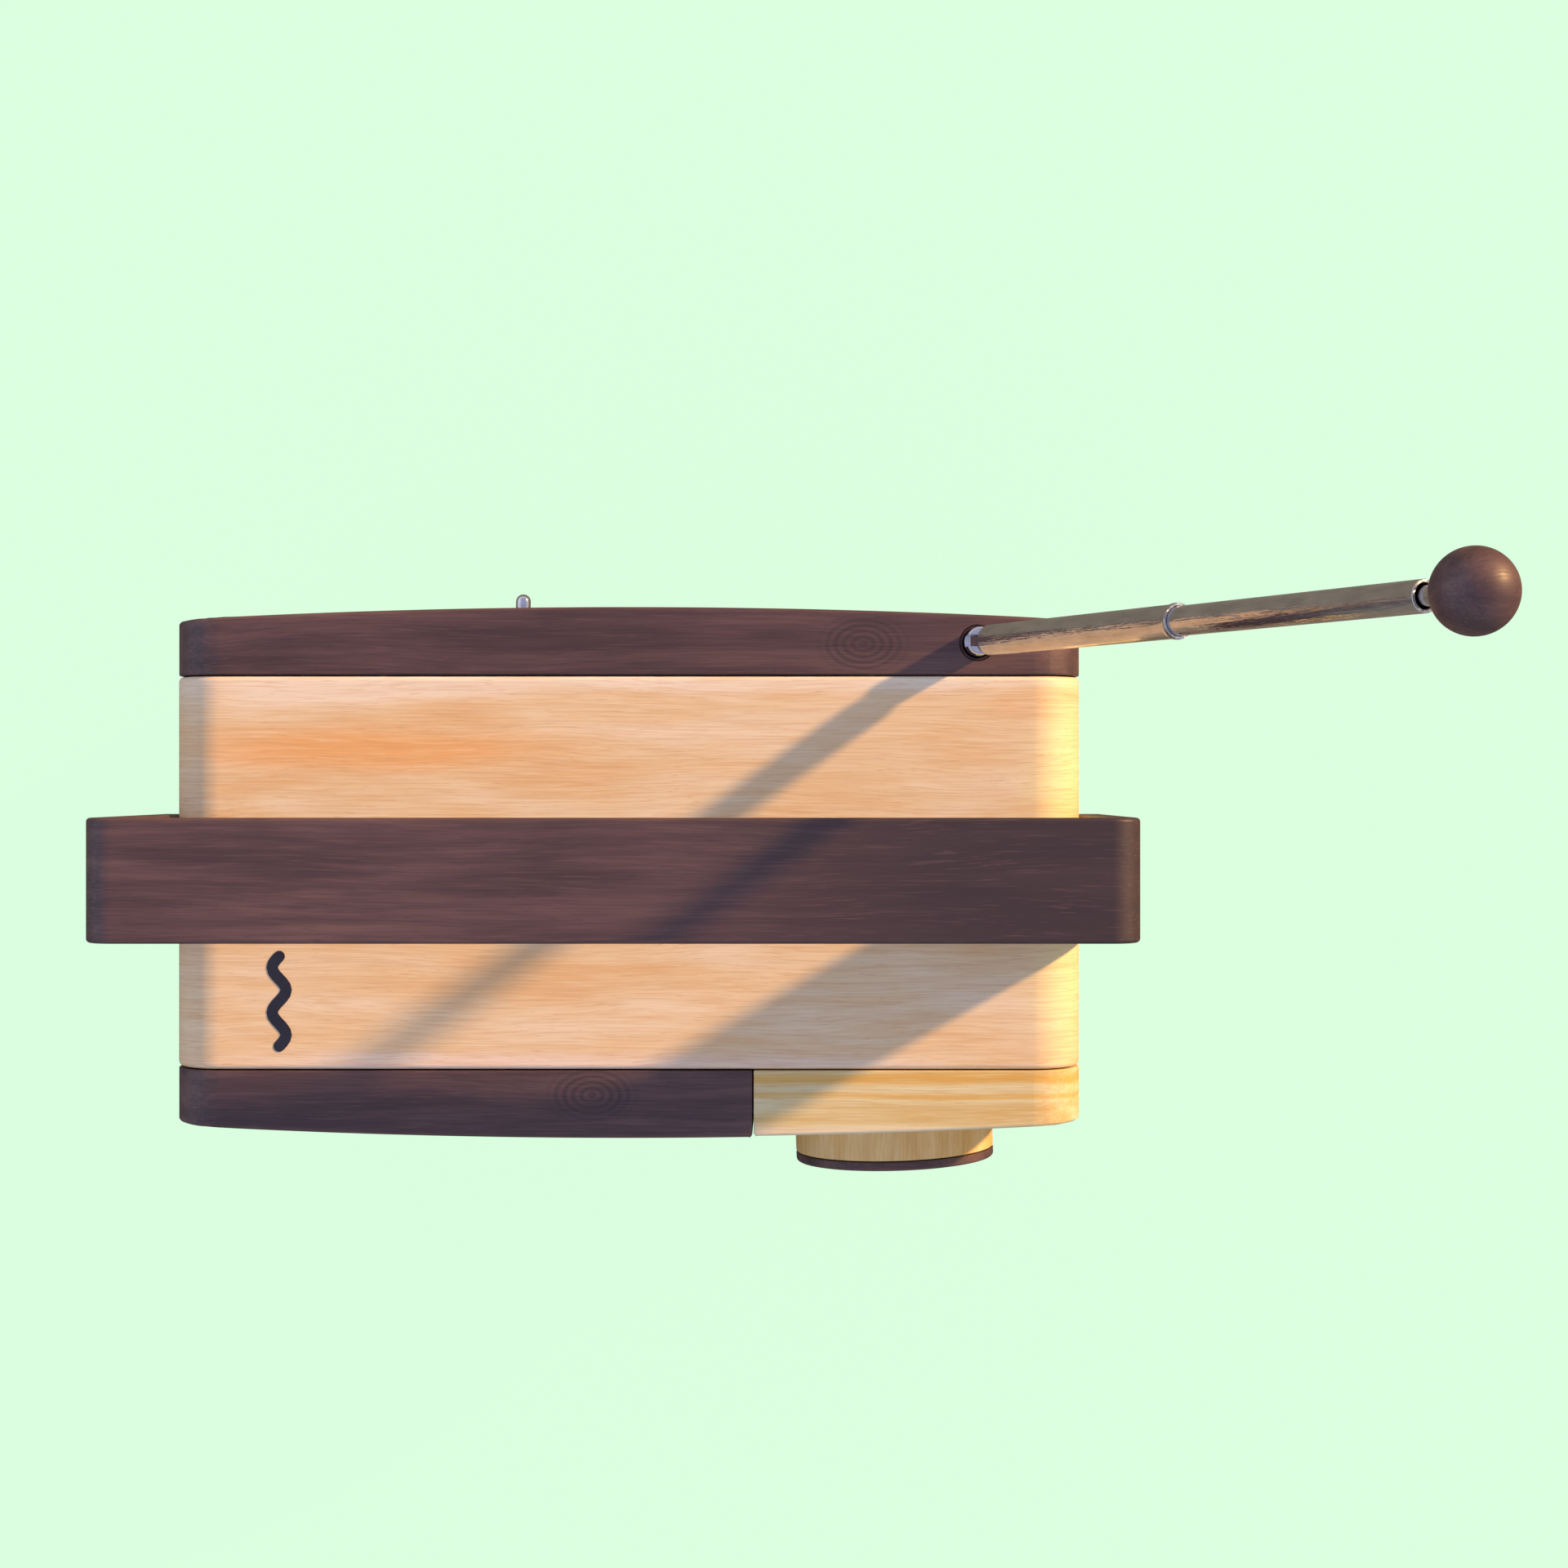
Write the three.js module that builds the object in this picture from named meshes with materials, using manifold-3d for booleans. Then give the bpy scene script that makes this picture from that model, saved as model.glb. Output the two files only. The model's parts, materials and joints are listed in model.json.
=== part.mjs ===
// A wooden portable radio: a wrap-round shell closed by bowed front and rear boards, with a bail
// handle, a telescopic antenna, one large front knob and a toggle switch at the back.
// Millimetres. The origin is the middle of the base pad's underside, +Z is up, -Y is the front.
import * as THREE from "three";
import { mergeVertices } from "three/addons/utils/BufferGeometryUtils.js";
import Module from "manifold-3d";

// Cabinet
const CABINET_WIDTH = 224.4;
const CABINET_HEIGHT = 130;
const SHELL_DEPTH = 96.4;
const SHELL_WALL = 12;
const EDGE_RADIUS = 12.5;
const INNER_RADIUS = 4;
const BOARD_THICKNESS = 16.6; // at the middle of the bow
const BOARD_BOW = 3.2;
const BOW_STEPS = 24;
const BOARD_POCKET = 10; // depth of the pocket in the back of each board
const BOARD_RIM = 14;
const REAR_TOP_RIM = 26; // deeper, because the antenna stands in it
const LIGHT_WIDTH = 81.2; // of the light front board, the rest of the front is dark
const GAP = 0.3; // between pieces that meet
const PAST = 1; // how far a cutter runs past a face
const THROUGH = 10; // half of a cutter that passes right through a thin piece
const PAD_END_INSET = 5.7; // from the flat underside's ends
const PAD_SIDE_INSET = 6.2; // from the shell's open edges
const PAD_THICKNESS = 3.7;
const PAD_CORNER = 10;

// Grille and speaker
const GRILLE_MARGIN = 1; // grille beyond the cone's opening
const SLOT_HEIGHT = 4.6;
const SLOT_END_RADIUS = 2.29; // just under half the height
const SLOT_PITCH = 9.6;
const SLOT_END_STEPS = 4;
const CLOTH_THICKNESS = 0.8;
const SPEAKER_CLEARANCE = 3; // around the speaker in its pocket
const SPEAKER_FLANGE = 3;
const SPEAKER_FLANGE_WIDTH = 9;
const SPEAKER_DEPTH = 24;
const SPEAKER_NECK = 20; // radius of the basket's back
const SHEET = 1.6; // sheet metal of the basket
const CONE_NECK = 9;
const CONE_THICKNESS = 0.9;
const CONE_LIFT = 2; // above the basket's floor
const CONE_CLEARANCE = 1; // between its rim and the basket
const DUST_CAP_THICKNESS = 1.9;
const MAGNET_RADIUS = 28;
const MAGNET_DEPTH = 13;
const SPEAKER_SCREW_INSET = 3.6; // from the flange's edge

// Handle
const HANDLE_CLEARANCE = 0.5; // between each leg and the cabinet's side
const HANDLE_THICKNESS = 6.5;
const HANDLE_WIDTH = 28.2;
const HANDLE_RISE = 53; // from the cabinet's top to the handle's top
const HANDLE_DROP = 29; // from the cabinet's top to the ends of the legs
const HANDLE_CORNER = 6;
const HANDLE_END_CORNER = 6;
const PIVOT_DROP = 15;
const PIVOT_PIN_RADIUS = 3;
const PIVOT_HEAD_RADIUS = 6;
const PIVOT_HEAD_THICKNESS = 2.2;
const PIVOT_PIN_BITE = 9; // how far the pin enters the shell's wall

// Knob and volume control
const KNOB_INSET = 44.1; // from the cabinet's right side
const KNOB_RADIUS = 26.6;
const KNOB_LIFT = 1.2; // gap behind the knob
const KNOB_BODY_FRONT = 12.6;
const KNOB_FRONT = 15.2;
const KNOB_HOLLOW_RADIUS = 9;
const KNOB_HOLLOW_DEPTH = 5;
const SHAFT_RADIUS = 3;
const SHAFT_END = 10.6;
const SHAFT_BACK = -5;
const POINTER_RADIUS = 2;
const POINTER_DEPTH = 1;
const POINTER_INSET = 5; // from the cap's rim to the pointer's middle
const BUSHING_RADIUS = 4.5;
const BUSHING_FRONT = 4.4;
const CONTROL_RADIUS = 8.5;
const CONTROL_DEPTH = 10;
const NUT_RADIUS = 6.6;
const NUT_THICKNESS = 2.2;

// Toggle switch
const TOGGLE_X = -32.2;
const TOGGLE_BUSHING_RADIUS = 3.2;
const TOGGLE_BORE_RADIUS = 2.6;
const TOGGLE_PROUD = 2.6; // bushing in front of the board
const TOGGLE_NUT_RADIUS = 4.8;
const TOGGLE_NUT_THICKNESS = 1.9;
const TOGGLE_BODY = [13, 9, 10.5]; // width, height, depth
const TOGGLE_TILT = 12; // degrees below straight out, the lever's stop
const LEVER_PIVOT = -2; // behind the board's face
const LEVER_LENGTH = 10.6; // pivot to tip
const LEVER_NECK = 5; // pivot to where the thicker end begins
const LEVER_ROOT_RADIUS = 1.2;
const LEVER_TIP_RADIUS = 2;
const LEVER_DOME_STEPS = 3;

// Antenna
const ANTENNA_INSET = 26.2; // from the cabinet's right side
const ANTENNA_OFFSET = 0.4; // behind the middle of the rear board
const ANTENNA_TILT = 26; // degrees from upright, towards +X
const POST_RADIUS = 3.5;
const POST_DEPTH = 14; // below the cabinet's top
const SOCKET_WALL = 0.7;
const SOCKET_FLOOR = 1;
const RUNNING_GAP = 0.2; // between the antenna's moving pieces
const ANTENNA_PIVOT = 7.2; // above the cabinet's top
const EAR_TOP = 3; // ears above the pivot
const SLOT_FLOOR = 3.2; // slot below the pivot
const TONGUE_THICKNESS = 2.3;
const TONGUE_RADIUS = 2.3;
const PIN_RADIUS = 0.9;
const TUBE_1_CLEARANCE = 1.3; // past the post when the tube lies flat
const TUBE_1_END = 83;
const TUBE_1_RADIUS = 3.7;
const TUBE_WALL = 0.3;
const TUBE_FLOOR = 4; // solid foot of each hollow tube
const COLLAR_LENGTH = 1.6;
const COLLAR_PROUD = 0.25;
const TUBE_2_END = 161;
const TUBE_2_WALL = 1;
const TUBE_ENGAGED = 7; // length that stays inside the next tube
const ROD_END = 171;
const ROD_LENGTH = 86;
const BALL_CENTRE = 174;
const BALL_RADIUS = 8.2;
const BALL_STEPS = 12;

// Electronics
const CIRCUIT_SIZE = [62, 1.6, 78];
const CIRCUIT_SETBACK = 24.5; // behind the light board's pocket floor
const TUNER_SIZE = [26, 8, 20];
const TUNER_RISE = 8; // above the knob's axis
const CELL_RADIUS = 7.2;
const CELL_LENGTH = 50;
const CELL_COUNT = 4;
const TRAY_WALL = 1.6;
const TRAY_HEIGHT = 11;
const TRAY_INSET = 54.2; // tray's middle from the cabinet's right side
const TRAY_SETBACK = 4.4; // from the shell's rear edge

// Screws
const SCREW_HEAD_RADIUS = 3.4;
const SCREW_HEAD_THICKNESS = 2;
const SCREW_RADIUS = 1.7;
const SCREW_POINT = 1;
const REAR_SCREW_LENGTH = 30;
const REAR_SCREW_X = 60;
const SPEAKER_SCREW_LENGTH = 7;

// Mark on the top: one short sound wave
const MARK_LENGTH = 22;
const MARK_SWING = 1.7;
const MARK_STROKE = 2.8;
const MARK_TURNS = 2;
const MARK_STEPS = 24;
const MARK_END_STEPS = 6;
const MARK_DEPTH = 0.8;
const MARK_PROUD = 0.15;
const MARK_INSET_X = 27.2; // mark's middle from the cabinet's left side
const MARK_INSET_Y = 16.7; // and from the shell's front edge

// Worked out from the sizes above
const HALF_WIDTH = CABINET_WIDTH / 2;
const HALF_SHELL = SHELL_DEPTH / 2;
const BASE_Z = PAD_THICKNESS + GAP;
const TOP_Z = BASE_Z + CABINET_HEIGHT;
const MID_Z = (BASE_Z + TOP_Z) / 2;
const INNER_FACE_Y = HALF_SHELL + GAP;
const POCKET_FLOOR_Y = INNER_FACE_Y + BOARD_POCKET;
const PAD_WIDTH = CABINET_WIDTH - 2 * (EDGE_RADIUS + PAD_END_INSET);
const PAD_DEPTH = SHELL_DEPTH - 2 * PAD_SIDE_INSET;
const APEX_Y = INNER_FACE_Y + BOARD_THICKNESS;
const BOW_RADIUS = (HALF_WIDTH ** 2 + BOARD_BOW ** 2) / (2 * BOARD_BOW);
const FRONT_SPLIT_X = HALF_WIDTH - LIGHT_WIDTH;
const SPEAKER_X = (FRONT_SPLIT_X - HALF_WIDTH) / 2;
const SPEAKER_ROOM = Math.min(CABINET_HEIGHT / 2, (CABINET_WIDTH - LIGHT_WIDTH) / 2) - BOARD_RIM;
const SPEAKER_RADIUS = SPEAKER_ROOM - SPEAKER_CLEARANCE;
const SPEAKER_OPENING = SPEAKER_RADIUS - SPEAKER_FLANGE_WIDTH;
const SPEAKER_SCREW_CIRCLE = SPEAKER_RADIUS - SPEAKER_SCREW_INSET;
const GRILLE_RADIUS = SPEAKER_OPENING + GRILLE_MARGIN;
const KNOB_X = HALF_WIDTH - KNOB_INSET;
const MARK_X = MARK_INSET_X - HALF_WIDTH;
const MARK_Y = MARK_INSET_Y - HALF_SHELL;
const ANTENNA_X = HALF_WIDTH - ANTENNA_INSET;
const ANTENNA_Y = (INNER_FACE_Y + bowY(ANTENNA_X)) / 2 + ANTENNA_OFFSET;
const TUBE_1_START = POST_RADIUS + TUBE_1_CLEARANCE;
const PIVOT_Z = TOP_Z - PIVOT_DROP;
const LEG_INNER_X = HALF_WIDTH + HANDLE_CLEARANCE;
const LEG_OUTER_X = LEG_INNER_X + HANDLE_THICKNESS;
const TUBE_1_BORE = TUBE_1_RADIUS - TUBE_WALL;
const TUBE_2_RADIUS = TUBE_1_BORE - RUNNING_GAP;
const TUBE_2_BORE = TUBE_2_RADIUS - TUBE_2_WALL;
const ROD_RADIUS = TUBE_2_BORE - RUNNING_GAP;
const ROUND = 48; // sides of a large round piece
const MEDIUM_ROUND = 24;
const SMALL_ROUND = 16;
const BORE_ROUND = 10;
const SCREW_ROUND = 12;

const FINISHES = {
  light_wood: { color: 0xe0ab78, roughness: 0.55 },
  yellow_wood: { color: 0xe0b878, roughness: 0.55 },
  dark_wood: { color: 0x54403f, roughness: 0.5 },
  inlay: { color: 0x1c2030, roughness: 0.6 },
  chrome: { color: 0xc8c8cc, roughness: 0.15, metalness: 1 },
  brass: { color: 0xb99a55, roughness: 0.35, metalness: 1 },
  steel: { color: 0x9a9ca0, roughness: 0.4, metalness: 1 },
  rubber: { color: 0x25252a, roughness: 0.9 },
  cloth: { color: 0x1d1b1c, roughness: 0.95 },
  paper: { color: 0x2b2826, roughness: 0.9 },
  plastic: { color: 0x202226, roughness: 0.6 },
  circuit: { color: 0x1f5b3a, roughness: 0.5 },
  cell: { color: 0x37506b, roughness: 0.4, metalness: 0.3 },
};

const wasm = await Module();
wasm.setup();

const radians = THREE.MathUtils.degToRad;

// A closed three.js geometry as a solid that can be joined and cut.
function solid(geometry) {
  const bare = geometry.clone();
  bare.deleteAttribute("normal");
  bare.deleteAttribute("uv");
  const merged = mergeVertices(bare, 1e-4);
  const index = merged.index.array;
  const triangles = [];
  for (let i = 0; i < index.length; i += 3) {
    const [a, b, c] = index.slice(i, i + 3);
    if (a !== b && b !== c && c !== a) triangles.push(a, b, c);
  }
  return new wasm.Manifold(
    new wasm.Mesh({
      numProp: 3,
      vertProperties: merged.attributes.position.array,
      triVerts: new Uint32Array(triangles),
    }),
  );
}

// A solid back as a three.js geometry.
function geometryOf(body) {
  const mesh = body.getMesh();
  const geometry = new THREE.BufferGeometry();
  geometry.setAttribute("position", new THREE.BufferAttribute(mesh.vertProperties, 3));
  geometry.setIndex(new THREE.BufferAttribute(mesh.triVerts, 1));
  const flat = geometry.toNonIndexed();
  flat.computeVertexNormals();
  return flat;
}

function cut(body, tools) {
  return tools.reduce((left, tool) => left.subtract(tool), body);
}

function piece(name, finish, geometry) {
  const mesh = new THREE.Mesh(geometry, new THREE.MeshStandardMaterial(FINISHES[finish]));
  mesh.name = name;
  return mesh;
}

function group(...members) {
  const made = new THREE.Group();
  made.add(...members);
  return made;
}

function roundedRectangle(width, height, radius) {
  const x = width / 2;
  const y = height / 2;
  const shape = new THREE.Shape();
  shape.absarc(x - radius, y - radius, radius, 0, Math.PI / 2);
  shape.absarc(radius - x, y - radius, radius, Math.PI / 2, Math.PI);
  shape.absarc(radius - x, radius - y, radius, Math.PI, 1.5 * Math.PI);
  shape.absarc(x - radius, radius - y, radius, 1.5 * Math.PI, 2 * Math.PI);
  shape.closePath();
  return shape;
}

function extrude(shape, depth, curveSegments = 8) {
  return new THREE.ExtrudeGeometry(shape, { depth, bevelEnabled: false, curveSegments });
}

// A shape drawn in X and Z, given thickness along Y from low to high.
function alongY(shape, low, high, curveSegments) {
  return extrude(shape, high - low, curveSegments).rotateX(Math.PI / 2).translate(0, high, 0);
}

// A shape drawn in Y and Z, given thickness along X from low to high.
function alongX(shape, low, high, curveSegments) {
  return extrude(shape, high - low, curveSegments)
    .rotateX(Math.PI / 2)
    .rotateZ(Math.PI / 2)
    .translate(low, 0, 0);
}

// A turned piece about Z. Its profile is a list of [height, radius], from the axis up to the axis.
function turned(profile, sides = SMALL_ROUND) {
  const points = profile.map(([height, radius]) => new THREE.Vector2(radius, height));
  return new THREE.LatheGeometry(points, sides).rotateX(Math.PI / 2);
}

// A turned ring about Z, whose profile closes on itself.
function ring(profile, sides) {
  return turned([...profile, profile[0]], sides);
}

function rod(low, high, radius, sides = SMALL_ROUND) {
  return turned([[low, 0], [low, radius], [high, radius], [high, 0]], sides);
}

function box(low, high) {
  const size = high.map((value, i) => value - low[i]);
  const middle = high.map((value, i) => (value + low[i]) / 2);
  return new THREE.BoxGeometry(...size).translate(...middle);
}

function bowY(x) {
  return APEX_Y - BOW_RADIUS + Math.sqrt(BOW_RADIUS ** 2 - x ** 2);
}

// The mark's outline: a wave of one turn, drawn as a stroke with round ends.
function markShape(margin) {
  const steps = MARK_STEPS;
  const endSteps = MARK_END_STEPS;
  const half = MARK_STROKE / 2 + margin;
  const turns = MARK_TURNS * 2 * Math.PI;
  const steepest = (MARK_SWING * turns) / MARK_LENGTH;
  const stroke = (share, angle) => {
    const slope = steepest * Math.cos(share * turns);
    const heading = Math.atan2(slope, 1) + angle;
    return new THREE.Vector2(
      MARK_SWING * Math.sin(share * turns) + half * Math.sin(heading),
      (share - 0.5) * MARK_LENGTH + half * Math.cos(heading),
    );
  };
  const points = [];
  for (let i = 0; i <= steps; i += 1) points.push(stroke(i / steps, Math.PI / 2));
  for (let i = 1; i < endSteps; i += 1) points.push(stroke(1, Math.PI / 2 - (Math.PI * i) / endSteps));
  for (let i = steps; i >= 0; i -= 1) points.push(stroke(i / steps, -Math.PI / 2));
  for (let i = 1; i < endSteps; i += 1) points.push(stroke(0, -Math.PI / 2 - (Math.PI * i) / endSteps));
  return new THREE.Shape(points);
}

// Shell: a rounded tube open at the front and back, with a pocket for the mark.
function shell() {
  const outside = roundedRectangle(CABINET_WIDTH, CABINET_HEIGHT, EDGE_RADIUS);
  const inside = roundedRectangle(
    CABINET_WIDTH - 2 * SHELL_WALL,
    CABINET_HEIGHT - 2 * SHELL_WALL,
    INNER_RADIUS,
  );
  outside.holes.push(inside);
  const wrap = solid(alongY(outside, -HALF_SHELL, HALF_SHELL).translate(0, 0, MID_Z));
  const cuts = [
    solid(extrude(markShape(GAP), 2 * MARK_DEPTH).translate(MARK_X, MARK_Y, TOP_Z - MARK_DEPTH)),
  ];
  for (const side of [-1, 1]) {
    const bore = rod(-PIVOT_PIN_BITE - GAP, GAP, PIVOT_PIN_RADIUS + GAP);
    cuts.push(solid(bore.rotateY((side * Math.PI) / 2).translate(side * HALF_WIDTH, 0, PIVOT_Z)));
  }
  for (const [x, z] of rearScrewPlaces()) {
    const depth = REAR_SCREW_LENGTH;
    cuts.push(solid(rearward(rod(-depth, 0, SCREW_RADIUS + GAP, BORE_ROUND), x, bowY(x), z)));
  }
  return piece("shell", "light_wood", geometryOf(cut(wrap, cuts)));
}

function mark() {
  const inlay = extrude(markShape(0), MARK_DEPTH - GAP + MARK_PROUD);
  return piece("mark_inlay", "inlay", inlay.translate(MARK_X, MARK_Y, TOP_Z - MARK_DEPTH + GAP));
}

// Turns a piece made about Z so that its +Z points to the rear, and places its origin.
function rearward(geometry, x, y, z) {
  return geometry.rotateX(-Math.PI / 2).translate(x, y, z);
}

// The same, with its +Z towards the front.
function forward(geometry, x, y, z) {
  return geometry.rotateX(Math.PI / 2).translate(x, y, z);
}

function rearScrewPlaces() {
  const inset = SHELL_WALL / 2;
  return [-1, 1].flatMap((side) => [
    [side * REAR_SCREW_X, BASE_Z + inset],
    [side * REAR_SCREW_X, TOP_Z - inset],
  ]);
}

// A board as a full-width rear one: flat inside, bowed outside, with a pocket in its back.
function board(topRim) {
  const plan = [new THREE.Vector2(HALF_WIDTH, INNER_FACE_Y)];
  for (let i = 0; i <= BOW_STEPS; i += 1) {
    const x = HALF_WIDTH - (CABINET_WIDTH * i) / BOW_STEPS;
    plan.push(new THREE.Vector2(x, bowY(x)));
  }
  plan.push(new THREE.Vector2(-HALF_WIDTH, INNER_FACE_Y));
  const bowed = solid(extrude(new THREE.Shape(plan), CABINET_HEIGHT).translate(0, 0, BASE_Z));
  const face = roundedRectangle(CABINET_WIDTH, CABINET_HEIGHT, EDGE_RADIUS);
  const outline = solid(
    alongY(face, INNER_FACE_Y - PAST, APEX_Y + PAST).translate(0, 0, MID_Z),
  );
  const pocket = box(
    [BOARD_RIM - HALF_WIDTH, INNER_FACE_Y - PAST, BASE_Z + BOARD_RIM],
    [HALF_WIDTH - BOARD_RIM, POCKET_FLOOR_Y, TOP_Z - topRim],
  );
  return bowed.intersect(outline).subtract(solid(pocket));
}

function rearPanel() {
  const cuts = [
    solid(antennaSpace(rod(-POST_DEPTH - SOCKET_FLOOR - GAP, PAST, socketRadius() + GAP))),
    solid(toggleSpace(rod(-BOARD_THICKNESS, PAST, TOGGLE_BUSHING_RADIUS + GAP))),
  ];
  for (const [x, z] of rearScrewPlaces()) {
    const hole = solid(rod(-REAR_SCREW_LENGTH, PAST, SCREW_RADIUS + GAP, BORE_ROUND)).add(
      solid(rod(-SCREW_HEAD_THICKNESS - GAP, PAST, SCREW_HEAD_RADIUS + GAP)),
    );
    cuts.push(solid(rearward(geometryOf(hole), x, bowY(x), z)));
  }
  return piece("rear_panel", "dark_wood", geometryOf(cut(board(REAR_TOP_RIM), cuts)));
}

// Front boards: the dark one with the grille, the light one behind the knob.
function grilleSlots() {
  const count = 2 * Math.floor(GRILLE_RADIUS / SLOT_PITCH) + 1;
  const slots = [];
  for (let i = 0; i < count; i += 1) {
    const rise = (i - (count - 1) / 2) * SLOT_PITCH;
    const width = 2 * Math.sqrt(GRILLE_RADIUS ** 2 - rise ** 2);
    const shape = roundedRectangle(width, SLOT_HEIGHT, SLOT_END_RADIUS);
    const slot = alongY(shape, -APEX_Y - PAST, PAST - POCKET_FLOOR_Y, SLOT_END_STEPS);
    slots.push(solid(slot.translate(SPEAKER_X, 0, MID_Z + rise)));
  }
  return slots;
}

function speakerScrewPlaces() {
  const reach = SPEAKER_SCREW_CIRCLE * Math.SQRT1_2;
  return [[-reach, -reach], [reach, -reach], [reach, reach], [-reach, reach]];
}

function frontPanels() {
  const front = board(BOARD_RIM).rotate([0, 0, 180]);
  const divider = (low, high) =>
    solid(box([low, -APEX_Y - PAST, BASE_Z - PAST], [high, PAST - INNER_FACE_Y, TOP_Z + PAST]));
  const dark = front.intersect(divider(-HALF_WIDTH - PAST, FRONT_SPLIT_X - GAP / 2));
  const light = front.intersect(divider(FRONT_SPLIT_X + GAP / 2, HALF_WIDTH + PAST));
  const pilots = speakerScrewPlaces().map(([x, z]) =>
    solid(
      forward(
        rod(-PAST, SPEAKER_SCREW_LENGTH - SPEAKER_FLANGE, SCREW_RADIUS + GAP, BORE_ROUND),
        SPEAKER_X + x,
        -POCKET_FLOOR_Y,
        MID_Z + z,
      ),
    ),
  );
  const bushing = solid(knobSpace(rod(-BOARD_THICKNESS, PAST, BUSHING_RADIUS + GAP)));
  return group(
    piece("front_panel_dark", "dark_wood", geometryOf(cut(dark, [...grilleSlots(), ...pilots]))),
    piece("front_panel_light", "yellow_wood", geometryOf(light.subtract(bushing))),
  );
}

// Handle: a flat bail that turns on a pin in each side of the shell.
function handleOutline() {
  const top = TOP_Z + HANDLE_RISE;
  const bottom = TOP_Z - HANDLE_DROP;
  const outline = new THREE.Shape();
  outline.moveTo(LEG_OUTER_X, bottom);
  outline.absarc(LEG_OUTER_X - HANDLE_CORNER, top - HANDLE_CORNER, HANDLE_CORNER, 0, Math.PI / 2);
  outline.absarc(HANDLE_CORNER - LEG_OUTER_X, top - HANDLE_CORNER, HANDLE_CORNER, Math.PI / 2, Math.PI);
  outline.lineTo(-LEG_OUTER_X, bottom);
  outline.lineTo(-LEG_INNER_X, bottom);
  outline.lineTo(-LEG_INNER_X, top - HANDLE_THICKNESS);
  outline.lineTo(LEG_INNER_X, top - HANDLE_THICKNESS);
  outline.lineTo(LEG_INNER_X, bottom);
  return outline;
}

function handle() {
  const bail = solid(alongY(handleOutline(), -HANDLE_WIDTH / 2, HANDLE_WIDTH / 2));
  const height = HANDLE_RISE + HANDLE_DROP + HANDLE_END_CORNER + PAST;
  const ends = solid(
    alongX(
      roundedRectangle(HANDLE_WIDTH, height, HANDLE_END_CORNER),
      -LEG_OUTER_X - PAST,
      LEG_OUTER_X + PAST,
    ).translate(0, 0, TOP_Z - HANDLE_DROP + height / 2),
  );
  const bores = [-1, 1].map((side) => {
    const bore = solid(rod(-HANDLE_THICKNESS - PAST, PAST, PIVOT_PIN_RADIUS + GAP)).add(
      solid(rod(-PIVOT_HEAD_THICKNESS - GAP, PAST, PIVOT_HEAD_RADIUS + GAP, MEDIUM_ROUND)),
    );
    const turnedOut = geometryOf(bore).rotateY((side * Math.PI) / 2);
    return solid(turnedOut.translate(side * LEG_OUTER_X, 0, PIVOT_Z));
  });
  return piece("handle", "dark_wood", geometryOf(cut(bail.intersect(ends), bores)));
}

function handlePin(name, side) {
  const length = HANDLE_THICKNESS + HANDLE_CLEARANCE + PIVOT_PIN_BITE;
  const pin = turned(
    [
      [-length, 0],
      [-length, PIVOT_PIN_RADIUS],
      [-PIVOT_HEAD_THICKNESS, PIVOT_PIN_RADIUS],
      [-PIVOT_HEAD_THICKNESS, PIVOT_HEAD_RADIUS],
      [-GAP, PIVOT_HEAD_RADIUS],
      [-GAP, 0],
    ],
    MEDIUM_ROUND,
  );
  const placed = pin.rotateY((side * Math.PI) / 2).translate(side * LEG_OUTER_X, 0, PIVOT_Z);
  return piece(name, "brass", placed);
}

// Knob: everything about the knob's axis is made about Z, from the board's face outwards.
function knobSpace(geometry) {
  const lean = Math.asin(KNOB_X / BOW_RADIUS);
  return geometry
    .rotateX(Math.PI / 2)
    .rotateZ(lean)
    .translate(KNOB_X, -bowY(KNOB_X), MID_Z);
}

function knob() {
  const hollow = KNOB_LIFT + KNOB_HOLLOW_DEPTH;
  const body = turned(
    [
      [SHAFT_END + GAP, 0],
      [SHAFT_END + GAP, SHAFT_RADIUS + GAP],
      [hollow, SHAFT_RADIUS + GAP],
      [hollow, KNOB_HOLLOW_RADIUS],
      [KNOB_LIFT, KNOB_HOLLOW_RADIUS],
      [KNOB_LIFT, KNOB_RADIUS],
      [KNOB_BODY_FRONT, KNOB_RADIUS],
      [KNOB_BODY_FRONT, 0],
    ],
    ROUND,
  );
  const reach = KNOB_RADIUS - POINTER_INSET;
  const pointer = (low, margin) =>
    rod(low, KNOB_FRONT + margin, POINTER_RADIUS + margin).translate(0, reach, 0);
  const cap = solid(rod(KNOB_BODY_FRONT + GAP, KNOB_FRONT, KNOB_RADIUS, ROUND));
  const pocket = solid(pointer(KNOB_FRONT - POINTER_DEPTH - GAP, GAP));
  return group(
    piece("knob_body", "yellow_wood", knobSpace(body)),
    piece("knob_cap", "dark_wood", knobSpace(geometryOf(cap.subtract(pocket)))),
    piece("knob_pointer", "brass", knobSpace(pointer(KNOB_FRONT - POINTER_DEPTH, 0))),
    piece("knob_shaft", "steel", knobSpace(rod(SHAFT_BACK, SHAFT_END, SHAFT_RADIUS))),
  );
}

function hexNut(name, across, thickness, bore, place) {
  const blank = solid(rod(GAP, GAP + thickness, across, 6));
  const hole = solid(rod(-PAST, thickness + 2 * PAST, bore + GAP));
  return piece(name, "steel", place(geometryOf(blank.subtract(hole))));
}

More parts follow.
